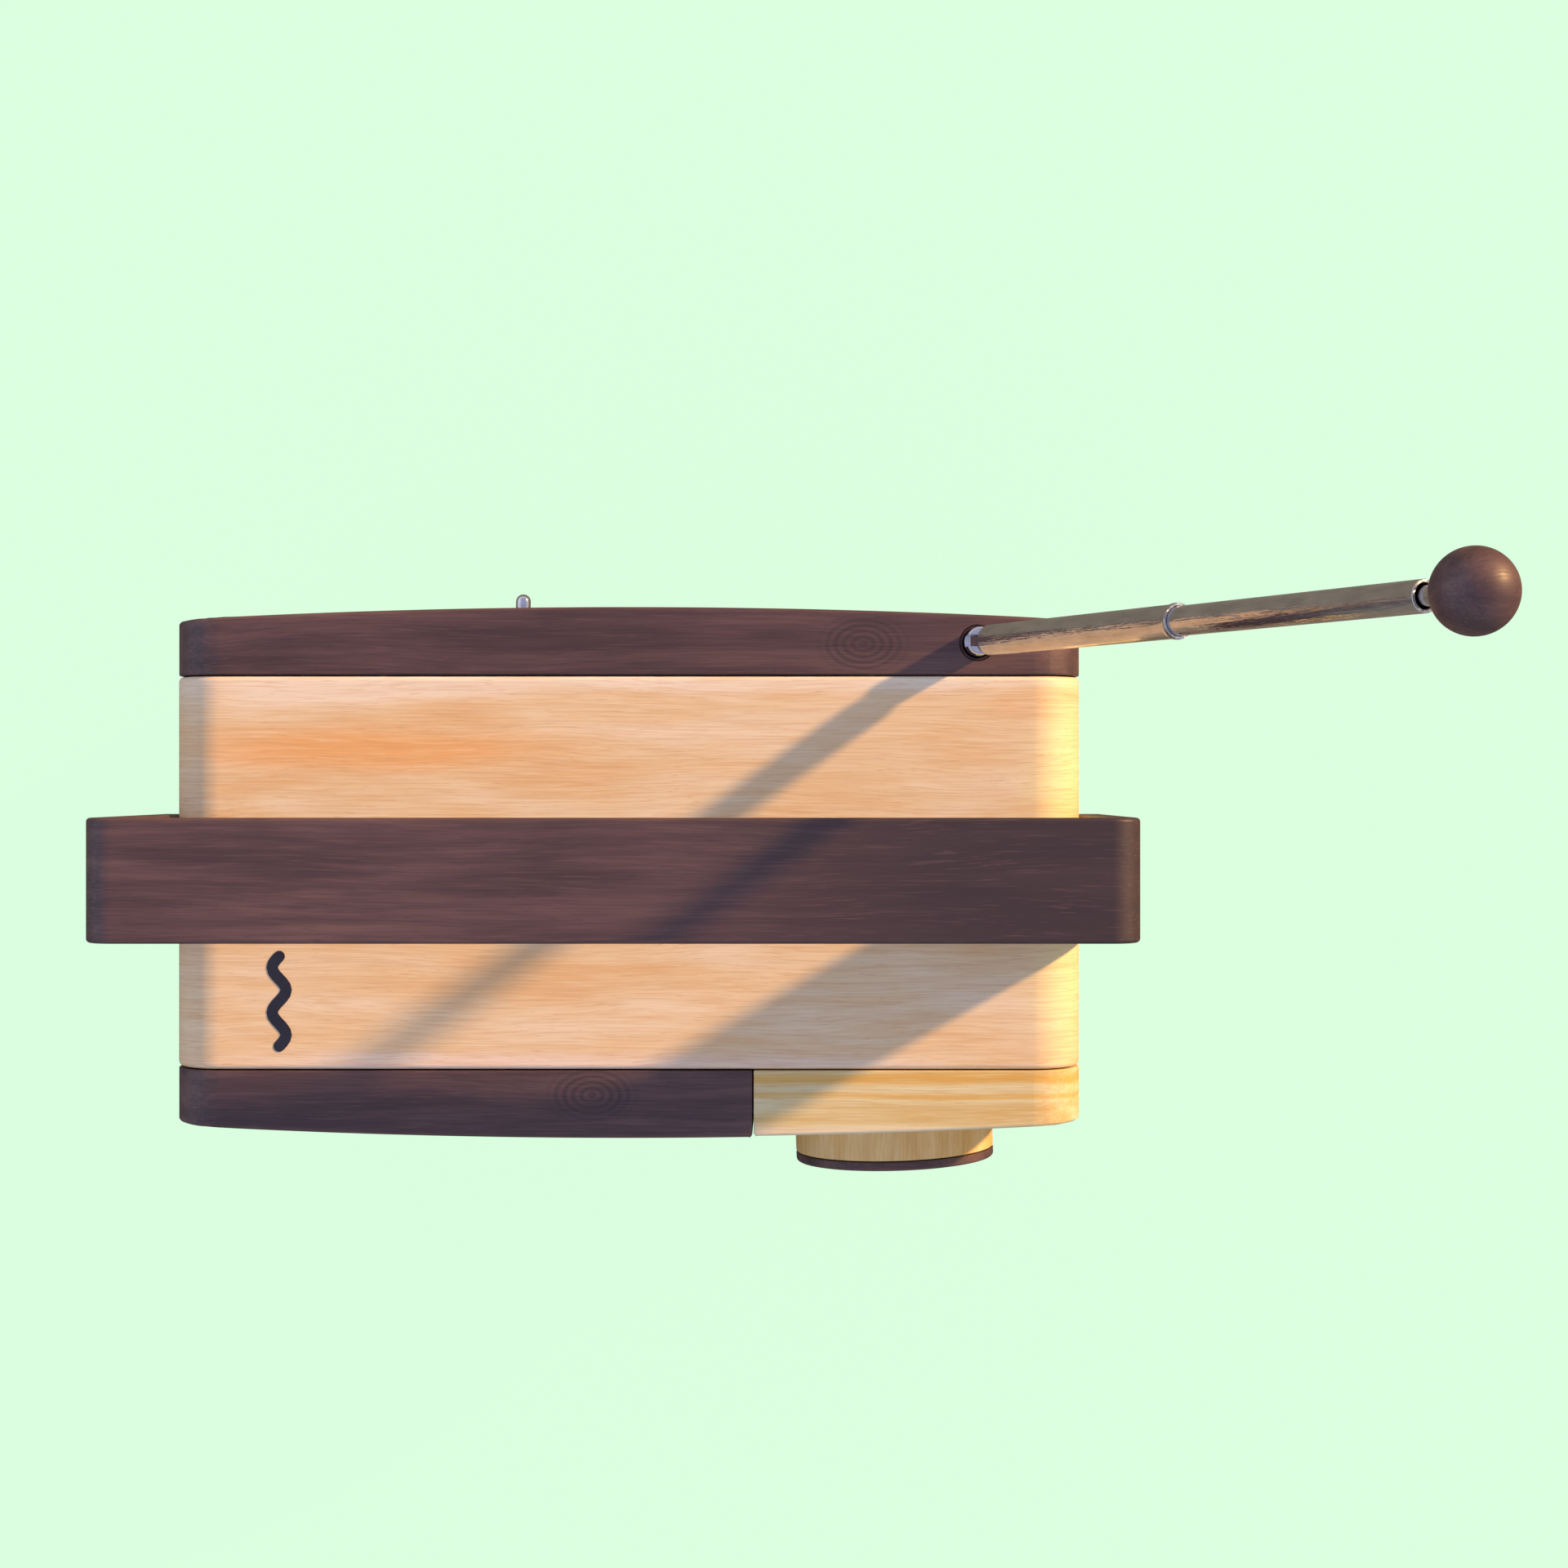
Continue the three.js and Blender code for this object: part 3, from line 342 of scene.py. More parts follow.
def carve_round(piece, place, direction, depth, radius, sides=40):
    """Drills a round hole from a place on the surface into the piece."""
    cutter = round_bar(-depth, 1 * MM, radius, sides)
    turn = Vector((0, 0, 1)).rotation_difference(Vector(direction)).to_matrix().to_4x4()
    carve(piece, settle(cutter, Matrix.Translation(place) @ turn))


def slotted_screw(sides, steps, head, shank, slot, point=0):
    """A screw along Z with its head's face at 0 and a straight slot in it, with the head's radius, thickness
    and rounding, the shank's radius and length, and the slot's width and depth."""
    radius, thickness, rounding = head
    screw = round_bar(-thickness, 0, radius, sides)
    soften(rounding, steps, lambda a, b, turn: at(a.z, b.z, 0))
    pick("FACE", lambda centre, normal: normal.z < -0.9)
    bpy.ops.mesh.inset(thickness=radius - shank[0])
    bpy.ops.mesh.extrude_region_move(TRANSFORM_OT_translate={"value": (0, 0, -shank[1])})
    if point:
        bpy.ops.mesh.extrude_region_move(TRANSFORM_OT_translate={"value": (0, 0, -point)})
        bpy.ops.transform.resize(value=(0.15, 0.15, 1))
    reach = Vector((2 * radius, slot[0] / 2, 0))
    carve(screw, block(-reach - Vector((0, 0, slot[1])), reach + Vector((0, 0, MM))))
    return screw


def smooth(piece, degrees=35):
    """Smooth shading that keeps real edges and stays flat on flat faces."""
    activate(piece)
    bpy.ops.object.shade_smooth_by_angle(angle=math.radians(degrees))
    modify(piece, "WEIGHTED_NORMAL", keep_sharp=True)


def close_up(piece):
    """Merges doubled points and turns all faces outwards."""
    edit(piece)
    bpy.ops.mesh.select_all(action="SELECT")
    bpy.ops.mesh.remove_doubles(threshold=WELD)
    bpy.ops.mesh.normals_make_consistent(inside=False)
    deselect()


def set_grain(piece, measure):
    """Stores, at each corner of each face, where it lies in the wood: along, across and into the grain."""
    mesh = piece.data
    layer = mesh.attributes.new("grain", "FLOAT_VECTOR", "CORNER")
    for face in mesh.polygons:
        for corner in face.loop_indices:
            point = mesh.vertices[mesh.loops[corner].vertex_index].co
            layer.data[corner].vector = measure(point, face.center)


def straight_grain(point, middle):
    return point


def hand_over(piece, name, body, material, node):
    """Names the piece, gives it its material, and has it ride on its body in place of the CAD node."""
    deselect()
    piece.name = name
    piece.data.name = name
    piece.data.materials.clear()
    piece.data.materials.append(material)
    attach(piece, body)
    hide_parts(node)


# ---------------------------------------------------------------- materials

SMOOTH = {"interpolation_type": "SMOOTHSTEP"}
COLOURS = {"data_type": "RGBA", "out": 2}


def colour(code):
    """An sRGB hex colour as the linear one that the shaders use."""
    parts = [int(code[i : i + 2], 16) / 255 for i in (1, 3, 5)]
    linear = [p / 12.92 if p <= 0.04045 else ((p + 0.055) / 1.055) ** 2.4 for p in parts]
    return (*linear, 1)


def add(tree, kind, inputs=None, stops=(), out=0, **settings):
    """Adds a node with its settings, inputs, links and a ramp's stops, and returns one of its outputs."""
    made = tree.nodes.new("ShaderNode" + kind)
    for name, value in settings.items():
        setattr(made, name, value)
    for key, value in (inputs or {}).items():
        if isinstance(value, bpy.types.NodeSocket):
            tree.links.new(value, made.inputs[key])
        else:
            made.inputs[key].default_value = value
    if stops:
        while len(made.color_ramp.elements) < len(stops):
            made.color_ramp.elements.new(0.5)
        for element, (place, code) in zip(made.color_ramp.elements, stops):
            element.position = place
            element.color = colour(code)
    return made.outputs[out]


def start_material(name, **constants):
    """A new material's tree and its shader, with the shader's constants set on its own sockets."""
    material = bpy.data.materials.new(name)
    material.use_nodes = True
    tree = material.node_tree
    shader = tree.nodes["Principled BSDF"]
    for socket, value in constants.items():
        shader.inputs[socket.replace("_", " ").title().replace("Ior", "IOR")].default_value = value
    return material, tree, shader


def finish_material(tree, shader, base, gloss, relief, strength, depth):
    """Leads the colour, the roughness where it varies, and a relief of that depth into the shader."""
    tree.links.new(base, shader.inputs["Base Color"])
    if gloss is not None:
        tree.links.new(gloss, shader.inputs["Roughness"])
    bump = add(tree, "Bump", {"Strength": strength, "Distance": depth, "Height": relief})
    tree.links.new(bump, shader.inputs["Normal"])


def stretched(tree, place, along, across, detail, roughness, offset=0.0):
    """Noise whose patches are about that long and that wide, in millimetres."""
    scale = (1 / (along * MM), 1 / (across * MM), 1 / (across * MM))
    sized = add(tree, "VectorMath", {0: place, 1: scale}, operation="MULTIPLY")
    moved = add(tree, "VectorMath", {0: sized, 1: (offset, offset, offset)}, operation="ADD")
    return add(tree, "TexNoise", {"Vector": moved, "Scale": 1.0, "Detail": detail, "Roughness": roughness})


def reach_from(tree, place, x, y, scale_x, scale_y):
    """How far a place lies from (x, y), with both scaled first."""
    sized = add(tree, "VectorMath", {0: place, 1: (scale_x, scale_y, 0)}, operation="MULTIPLY")
    centre = (x * scale_x, y * scale_y, 0)
    return add(tree, "VectorMath", {0: sized, 1: centre}, out="Value", operation="DISTANCE")


def tint_spots(tree, base, place, figure, spots):
    """Soft oval spots of another tone, made ragged by the figure."""
    for x, y, half_length, half_width, tone in spots:
        reach = reach_from(tree, place, x, y, 1 / half_length, 1 / half_width)
        uneven = add(tree, "Math", {0: figure, 1: 0.9}, operation="MULTIPLY")
        ragged = add(tree, "Math", {0: reach, 1: uneven}, operation="ADD")
        amount = add(tree, "MapRange", {0: ragged, 1: 0.7, 2: 1.5, 3: 0.75, 4: 0}, **SMOOTH)
        base = add(tree, "Mix", {0: amount, 6: base, 7: colour(tone)}, **COLOURS)
    return base


def draw_growth_lines(tree, base, place, figure, period, strength, tone):
    """Lines along the grain, that far apart in millimetres, which sway with the figure."""
    across = add(tree, "SeparateXYZ", {0: place}, out="Y")
    phase = add(tree, "Math", {0: across, 1: 2 * math.pi / (period * MM)}, operation="MULTIPLY")
    swayed = add(tree, "Math", {0: figure, 1: 9}, operation="MULTIPLY")
    wavy = add(tree, "Math", {0: phase, 1: swayed}, operation="ADD")
    wave = add(tree, "Math", {0: wavy}, operation="SINE")
    lines = add(tree, "Math", {0: wave, 1: 0.5, 2: 0.5}, operation="MULTIPLY_ADD")
    amount = add(tree, "Math", {0: lines, 1: strength}, operation="MULTIPLY")
    return add(tree, "Mix", {0: amount, 6: base, 7: colour(tone)}, **COLOURS)


def draw_knots(tree, base, grain, knots, tone):
    """Faint rings round each knot, longer along the grain than across it."""
    for x, y in knots:
        reach = reach_from(tree, grain, x, y, 1, KNOT_STRETCH)
        phase = add(tree, "Math", {0: reach, 1: 2 * math.pi / KNOT_RING}, operation="MULTIPLY")
        wave = add(tree, "Math", {0: phase}, operation="SINE")
        rings = add(tree, "Math", {0: wave, 1: 0.5, 2: 0.5}, operation="MULTIPLY_ADD")
        near = add(tree, "MapRange", {0: reach, 1: KNOT_HEART, 2: KNOT_RADIUS, 3: 0.6, 4: 0}, **SMOOTH)
        amount = add(tree, "Math", {0: near, 1: rings}, operation="MULTIPLY")
        base = add(tree, "Mix", {0: amount, 6: base, 7: colour(tone)}, **COLOURS)
    return base


def wood(name, tones, line_tone, seed, line_period, line_strength, patches, spots=(), knots=()):
    """Planed and oiled wood. tones run from palest to deepest, patches are the figure's length and width, and
    lines are the growth lines. spots are (x, y, half length, half width, tone) and knots are (x, y)."""
    material, tree, shader = start_material(name, ior=1.5, coat_weight=0.08, coat_roughness=0.35)
    grain = add(tree, "Attribute", out="Vector", attribute_name="grain")
    # The grain wanders by a millimetre or so over a hand's width.
    drift = stretched(tree, grain, 70, 16, 1.0, 0.5, seed)
    centred = add(tree, "Math", {0: drift, 1: 0.5}, operation="SUBTRACT")
    sway = add(tree, "Math", {0: centred, 1: GRAIN_WANDER}, operation="MULTIPLY")
    shift = add(tree, "CombineXYZ", {"Y": sway, "Z": sway})
    place = add(tree, "VectorMath", {0: grain, 1: shift}, operation="ADD")

    # Broad soft patches of colour, then spots, growth lines and knots.
    figure = stretched(tree, place, *patches, 4.0, 0.55, seed + 3)
    stops = [(0.34 + 0.32 * i / (len(tones) - 1), tone) for i, tone in enumerate(tones)]
    base = add(tree, "ValToRGB", {0: figure}, stops)
    base = tint_spots(tree, base, place, figure, spots)
    base = draw_growth_lines(tree, base, place, figure, line_period, line_strength, line_tone)
    base = draw_knots(tree, base, grain, knots, line_tone)

    # Then fibres, dark and pale, and open pores. Fibres are finer than this in the wood; they are drawn as
    # coarse as they need to show.
    fibres = stretched(tree, place, 16, 0.45, 2.0, 0.6, seed + 7)
    dark_fibres = add(tree, "MapRange", {0: fibres, 1: 0.4, 2: 0.72, 3: 0, 4: 0.34}, **SMOOTH)
    pale_fibres = add(tree, "MapRange", {0: fibres, 1: 0.46, 2: 0.28, 3: 0, 4: 0.4}, **SMOOTH)
    pores = stretched(tree, place, 5, 0.3, 1.0, 0.5, seed + 11)
    open_pores = add(tree, "MapRange", {0: pores, 1: 0.66, 2: 0.74, 3: 0, 4: 0.4}, **SMOOTH)
    for amount, tone in ((dark_fibres, line_tone), (pale_fibres, tones[0]), (open_pores, line_tone)):
        base = add(tree, "Mix", {0: amount, 6: base, 7: colour(tone)}, **COLOURS)

    gloss = add(tree, "MapRange", {0: fibres, 1: 0.3, 2: 0.7, 3: 0.44, 4: 0.58}, **SMOOTH)
    pits = add(tree, "Math", {0: open_pores, 1: 0.8}, operation="MULTIPLY")
    relief = add(tree, "Math", {0: fibres, 1: pits}, operation="SUBTRACT")
    finish_material(tree, shader, base, gloss, relief, 0.35, 0.06 * MM)
    return material


def plated(name, tint, roughness, smudge, along=None, relief=0.05):
    """Plated or turned metal. Faint rubbed patches change its gloss, and ripples that deep in millimetres its
    reflections."""
    material, tree, shader = start_material(name, metallic=1.0)
    place = add(tree, "TexCoord", out="Object")
    if along is not None:
        turn = along.rotation_difference(Vector((1, 0, 0))).to_euler()
        place = add(tree, "Mapping", {"Vector": place, "Rotation": turn})
    rubbed = stretched(tree, place, 9, 3, 4.0, 0.6)
    base = add(tree, "ValToRGB", {0: rubbed}, [(0.35, tint[0]), (0.65, tint[1])])
    duller = roughness + smudge
    gloss = add(tree, "MapRange", {0: rubbed, 1: 0.35, 2: 0.7, 3: roughness, 4: duller}, **SMOOTH)
    ripple = stretched(tree, place, 14, 0.9, 3.0, 0.6, 5)
    finish_material(tree, shader, base, gloss, ripple, 0.3, relief * MM)
    return material


def matt(name, tones, grit, roughness, relief, sheen=0.0):
    """Moulded, pressed or printed material whose surface has a fine grit of that size in millimetres."""
    material, tree, shader = start_material(name, sheen_weight=sheen)
    place = add(tree, "TexCoord", out="Object")
    speckle = stretched(tree, place, grit, grit, 3.0, 0.6)
    cloudy = stretched(tree, place, 30 * grit, 30 * grit, 2.0, 0.5, 3)
    half_cloudy = add(tree, "Math", {0: cloudy, 1: 0.5}, operation="MULTIPLY")
    both = add(tree, "Math", {0: speckle, 1: 0.5, 2: half_cloudy}, operation="MULTIPLY_ADD")
    base = add(tree, "ValToRGB", {0: both}, [(0.4, tones[0]), (0.6, tones[1])])
    glossy, dull = roughness - 0.07, roughness + 0.07
    gloss = add(tree, "MapRange", {0: both, 1: 0.35, 2: 0.65, 3: glossy, 4: dull}, **SMOOTH)
    finish_material(tree, shader, base, gloss, speckle, 0.6, relief * MM)
    return material


def grille_cloth():
    """Black woven acoustic cloth: dull crossing threads with dark gaps."""
    material, tree, shader = start_material("woven_acoustic_cloth", roughness=0.92, sheen_weight=0.25)
    place = add(tree, "TexCoord", out="Object")
    waves = []
    for axis in ("X", "Z"):
        along = add(tree, "SeparateXYZ", {0: place}, out=axis)
        phase = add(tree, "Math", {0: along, 1: 2 * math.pi / THREAD_SPACING}, operation="MULTIPLY")
        waves.append(add(tree, "Math", {0: phase}, operation="SINE"))
    woven = add(tree, "Math", {0: waves[0], 1: waves[1]}, operation="MULTIPLY")
    crossing = add(tree, "Math", {0: woven, 1: 0.5, 2: 0.5}, operation="MULTIPLY_ADD")
    base = add(tree, "ValToRGB", {0: crossing}, [(0.1, "#0f0e10"), (0.9, "#35302f")])
    finish_material(tree, shader, base, None, crossing, 0.8, 0.2 * MM)
    return material


# Maple, planed and oiled: cream to peach, with an orange heart streak and hair-fine fibres. Its seams and
# right end carry painted highlights: pale bands where the rounded edges catch the light.
HEART_STREAK = (-62 * MM, 30 * MM, 62 * MM, 8 * MM, "#f6b566")
# Painted highlights: pale bands on the rounded edges at the rear and front seams, and on the sunlit right
# end.
PAINTED_EDGE_HIGHLIGHTS = [
    (-60 * MM, 46 * MM, 90 * MM, 5 * MM, "#faf0dc"),
    (40 * MM, 47 * MM, 100 * MM, 3 * MM, "#faf0dc"),
    (-20 * MM, -47 * MM, 110 * MM, 4.5 * MM, "#f4e4d6"),
    (108 * MM, 0, 14 * MM, 70 * MM, "#fbf2b4"),
]
MAPLE_TONES = ["#f6e6c8", "#f1d9b0", "#edca98"]
maple = wood(
    "oiled_maple", MAPLE_TONES, "#ce9e66", 1.0, 4.2, 0.10, (60, 10), [HEART_STREAK, *PAINTED_EDGE_HIGHLIGHTS]
)
# Ash, planed and oiled: straw yellow with straight, close growth lines, golden next to the seam and pale at
# the outer face.
ASH_BANDS = [
    (72 * MM, -50.6 * MM, 150 * MM, 1.8 * MM, "#e2b03c"),
    (72 * MM, -54.8 * MM, 150 * MM, 1 * MM, "#deb452"),
    (72 * MM, -64 * MM, 150 * MM, 2.4 * MM, "#f4ecd0"),
]
ash = wood("oiled_ash", ["#ebe5ba", "#e3d29a", "#dabd78"], "#c89f52", 21.0, 3.1, 0.16, (140, 5), ASH_BANDS)
# Ash, turned: the same wood with its end grain and broader figure showing.
turned_ash = wood("turned_ash", ["#f8dda0", "#f0cd88", "#e8bf72"], "#cc9a4c", 25.0, 7.0, 0.14, (26, 9))
# Walnut, smoked and oiled: cool brown with a plum cast and fine dark fibres.
WALNUT_TONES = ["#6f5350", "#5c4344", "#493538"]
walnut = wood("smoked_walnut", WALNUT_TONES, "#33262c", 41.0, 3.6, 0.22, (60, 6))
# The handle's walnut is painted darker towards its right end.
DARKER_RIGHT_END = (105 * MM, 0, 100 * MM, 90 * MM, "#2a2229")
walnut_strip = wood(
    "smoked_walnut_strip", WALNUT_TONES, "#33262c", 41.0, 3.6, 0.22, (60, 6), [DARKER_RIGHT_END]
)
KNOTS = [(58 * MM, 56 * MM), (-8.4 * MM, -54.5 * MM)]
walnut_knots = wood(
    "smoked_walnut_with_knots", WALNUT_TONES, "#33262c", 61.0, 3.6, 0.22, (60, 6), knots=KNOTS
)
# Chrome plate, polished: a bright mirror, very slightly rippled along the drawn tubes.
chrome = plated("polished_chrome", ("#dcdce0", "#c6c8ce"), 0.07, 0.08)
drawn_chrome = plated("drawn_chrome_tube", ("#dcdad8", "#c4c3c1"), 0.06, 0.08, TUBE_AXIS, 1.0)
# Brass, turned and lacquered: warm yellow metal with a satin gloss.
brass = plated("turned_brass", ("#c9a45c", "#b38c48"), 0.26, 0.14)
# Brass, blackened: dull dark metal that doesn't catch the eye.
black_brass = plated("blackened_brass", ("#2c2627", "#1e1a1c"), 0.38, 0.12)
# Brass, browned: a dull bush as brown as the walnut round it.
brown_brass = plated("browned_brass", ("#5f4a47", "#4a3838"), 0.5, 0.12)
# Steel, zinc plated: dull grey metal with a faint blue cast.
steel = plated("zinc_plated_steel", ("#a9acb2", "#8d9096"), 0.30, 0.15)
# Inlay, dyed and lacquered veneer: near-black navy, flush and slightly satin.
inlay = matt("dyed_veneer", ("#191c2c", "#232739"), 0.5, 0.42, 0.02)
rubber = matt("moulded_rubber", ("#1c1c20", "#2a2a2e"), 0.6, 0.85, 0.05)
paper = matt("pressed_paper_cone", ("#1e1c1b", "#302c2a"), 0.8, 0.9, 0.08, 0.1)
plastic = matt("moulded_abs", ("#1b1d21", "#27292e"), 0.4, 0.55, 0.03)
circuit = matt("solder_mask", ("#174a2f", "#22633f"), 1.5, 0.4, 0.03)
label = matt("printed_cell_label", ("#2f4a66", "#3c5c7c"), 4.0, 0.38, 0.02)
cloth_black = grille_cloth()


# ---------------------------------------------------------------- cabinet


def bend_measure(half, top, mean_radius, point):
    """How far along a bent strip a point lies, from the middle of its top. half and top place the bend."""
    side = math.copysign(1, point.x)
    out, up = abs(point.x) - half, point.z - top
    if out <= 0:
        return point.x
    if up >= 0:
        return side * (half + mean_radius * math.atan2(out, up))
    return side * (half + mean_radius * math.pi / 2 - up)


def shell_grain(point, middle):
    """The maple was bent round the cabinet, so its grain follows the wrap and meets under the base."""
    half, top = HALF_WIDTH - EDGE_RADIUS, TOP_Z - EDGE_RADIUS
    side = math.copysign(1, middle.x)
    if middle.z > MID_Z or abs(middle.x) > half:
        upper = Vector((point.x, 0, max(point.z, BASE_Z + EDGE_RADIUS)))
        along = bend_measure(half, top, EDGE_RADIUS, upper)
        below = upper.z - point.z
        return (along + side * below, point.y, 0)
    corner = half + EDGE_RADIUS * math.pi / 2 + (top - BASE_Z - EDGE_RADIUS) + EDGE_RADIUS
    return (side * (corner + half - abs(point.x)), point.y, 0)


def make_shell():
    shell = block(SHELL_LOW, SHELL_HIGH)
    pick("EDGE", lambda a, b, turn: not at(a.y, b.y))
    bpy.ops.mesh.bevel(offset=EDGE_RADIUS, segments=2 * CORNER_STEPS, affect="EDGES")
    pick("FACE", lambda middle, normal: abs(normal.y) > 0.9)
    bpy.ops.mesh.delete(type="FACE")
    bpy.ops.mesh.select_all(action="SELECT")
    bpy.ops.mesh.bisect(plane_co=(0, 0, 0), plane_no=(1, 0, 0))
    deselect()
    modify(shell, "SOLIDIFY", thickness=SHELL_WALL, offset=-1)
    edit(shell)

    def on_outside(point):
        """Nearer the shell's outer outline than the inner one."""
        edge = EDGE_RADIUS - 0.5 * SHELL_WALL
        flat_x, flat_z = HALF_WIDTH - EDGE_RADIUS, TOP_Z - MID_Z - EDGE_RADIUS
        past_x, past_z = max(abs(point.x) - flat_x, 0), max(abs(point.z - MID_Z) - flat_z, 0)
        return math.hypot(past_x, past_z) > edge

    def on_rim(a, b, turn):
        return at(a.y, b.y) and abs(a.y) > SHELL_HIGH.y - 0.1 * MM and sharp(a, b, turn)

    soften(SHELL_ROUND, 6, lambda a, b, turn: on_rim(a, b, turn) and on_outside(a))
    soften(SEAM_ROUND, 3, lambda a, b, turn: on_rim(a, b, turn) and not on_outside(a))
    deselect()
    smooth(shell)
    set_grain(shell, shell_grain)
    hand_over(shell, "bent_shell", "cabinet", maple, "shell")


def bow_drop(x):
    return BOW_RADIUS - math.sqrt(BOW_RADIUS**2 - x**2)


def outline_test(low, high):
    """A test for the edges of a board's outline, as against those of what is carved in it."""

    def on_outline(a, b):
        middle = (a + b) / 2
        inside_x = low.x + OUTLINE_BAND < middle.x < high.x - OUTLINE_BAND
        inside_z = low.z + OUTLINE_BAND < middle.z < high.z - OUTLINE_BAND
        in_corner = abs(middle.x) > HALF_WIDTH - EDGE_RADIUS and (
            middle.z < low.z + EDGE_RADIUS + MM or middle.z > high.z - EDGE_RADIUS - MM
        )
        return in_corner or not (inside_x and inside_z)

    return on_outline


def carve_pocket(board, low, high, rim_top, back_y, outward):
    """A pocket in the board's back, with a rim round it that is wider or narrower at the top."""
    ends = sorted((back_y - outward * MM, back_y + outward * POCKET_DEPTH))
    pocket_low = Vector((low.x + BOARD_RIM, ends[0], low.z + BOARD_RIM))
    pocket_high = Vector((high.x - BOARD_RIM, ends[1], high.z - rim_top))
    carve(board, block(pocket_low, pocket_high))


def bow_board(low, high, face_y, back_y, outward):
    """In edit mode, cuts the board every second column, and moves the points near its face back by the bow,
    column by column."""
    for column in range(math.ceil(low.x / (2 * COLUMN)), math.floor(high.x / (2 * COLUMN)) + 1):
        bpy.ops.mesh.select_all(action="SELECT")
        bpy.ops.mesh.bisect(plane_co=(2 * COLUMN * column, 0, 0), plane_no=(1, 0, 0))
    bend_y = back_y + BEND_SHARE * (face_y - back_y)
    for column in range(round(low.x / COLUMN), round(high.x / COLUMN) + 1):
        pick("VERT", lambda co: round(co.x / COLUMN) == column and (co.y - bend_y) * outward > 0)
        bpy.ops.transform.translate(value=(0, -outward * bow_drop(column * COLUMN), 0))


def make_board(low, high, rim_top, carvings):
    """A flat board with a pocket in its back, carved while flat and then bowed outwards.
    carvings is a function that carves the board before its edges are softened."""
    outward = math.copysign(1, high.y + low.y)
    face_y, back_y = (high.y, low.y) if outward > 0 else (low.y, high.y)
    board = block(low, high)
    rounded = [x for x in (low.x, high.x) if at(abs(x), HALF_WIDTH)]
    pick("EDGE", lambda a, b, turn: not at(a.y, b.y) and any(at(a.x, x) for x in rounded))
    bpy.ops.mesh.bevel(offset=EDGE_RADIUS, segments=CORNER_STEPS, affect="EDGES")
    soften(BOARD_CORNER_EDGE, 2, lambda a, b, turn: not at(a.y, b.y) and sharp(a, b, turn))
    carve_pocket(board, low, high, rim_top, back_y, outward)
    carvings(board)

    edit(board)
    on_outline = outline_test(low, high)
    soften(FACE_ROUND, 4, lambda a, b, t: at(a.y, b.y, face_y) and on_outline(a, b) and sharp(a, b, t))
    soften(SEAM_ROUND, 3, lambda a, b, t: at(a.y, b.y, back_y) and on_outline(a, b) and sharp(a, b, t))
    soften(SLOT_ROUND, 3, lambda a, b, t: at(a.y, b.y, face_y) and sharp(a, b, t))
    bow_board(low, high, face_y, back_y, outward)
    deselect()
    return board


def finish_board(board, name, material, node):
    smooth(board)
    set_grain(board, straight_grain)
    hand_over(board, name, "cabinet", material, node)


def carve_grille(board):
    """Round-ended slots, whose ends lie on a circle."""
    for i in range(SLOT_COUNT):
        rise = (i - (SLOT_COUNT - 1) / 2) * SLOT_PITCH
        half = math.sqrt(GRILLE_RADIUS**2 - rise**2)
        middle = Vector((GRILLE_CENTRE.x, DARK_LOW.y, MID_Z + rise))
        reach = Vector((half, SLOT_REACH, SLOT_HEIGHT / 2))
        cutter = block(middle - reach, middle + reach)
        pick("EDGE", lambda a, b, turn: not at(a.y, b.y))
        bpy.ops.mesh.bevel(offset=SLOT_END, segments=8, affect="EDGES")
        carve(board, cutter)


def carve_knob_hole(board):
    carve_round(board, (KNOB_PLACE.x, LIGHT_LOW.y, MID_Z), (0, -1, 0), DRILL_DEPTH, KNOB_HOLE_RADIUS)


def rear_screw_places():
    nodes = [name for name in frame["nodes"] if name.startswith("rear_screw")]
    return [(sum(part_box(name), Vector()) / 2, name) for name in sorted(nodes)]


def carve_rear(board):
    carve_round(board, (TOGGLE_PLACE.x, REAR_HIGH.y, MID_Z), (0, 1, 0), DRILL_DEPTH, TOGGLE_HOLE_RADIUS)
    for middle, _ in rear_screw_places():
        place = (middle.x, REAR_HIGH.y, middle.z)
        carve_round(board, place, (0, 1, 0), SCREW_RECESS_DEPTH, SCREW_RECESS_RADIUS)


def make_boards():
    """The two front boards, and the rear one with a hole in its top edge for the antenna's bush."""
    dark = make_board(DARK_LOW, DARK_HIGH, BOARD_RIM, carve_grille)
    finish_board(dark, "front_board_walnut", walnut_knots, "front_panel_dark")
    light = make_board(LIGHT_LOW, LIGHT_HIGH, BOARD_RIM, carve_knob_hole)
    finish_board(light, "front_board_ash", ash, "front_panel_light")
    rear = make_board(REAR_LOW, REAR_HIGH, REAR_TOP_RIM, carve_rear)
    depth = TOP_Z - SOCKET_LOW.z + SOCKET_FLOOR_ROOM
    radius = (SOCKET_HIGH.x - SOCKET_LOW.x) / 2 + SOCKET_ROOM
    carve_round(rear, (ANTENNA_PLACE.x, ANTENNA_PLACE.y, TOP_Z), (0, 0, 1), depth, radius, 32)
    finish_board(rear, "rear_board_walnut", walnut_knots, "rear_panel")


def make_cloth():
    """Acoustic cloth stretched flat behind the grille."""
    size = CLOTH_HIGH - CLOTH_LOW
    cloth = round_bar(-size.y / 2, size.y / 2, size.x / 2, 64)
    soften(CLOTH_EDGE, 2, sharp)
    deselect()
    turn = Matrix.Rotation(math.pi / 2, 4, "X")
    settle(cloth, Matrix.Translation(GRILLE_CENTRE) @ turn)
    smooth(cloth)
    hand_over(cloth, "acoustic_cloth", "cabinet", cloth_black, "speaker_cloth")


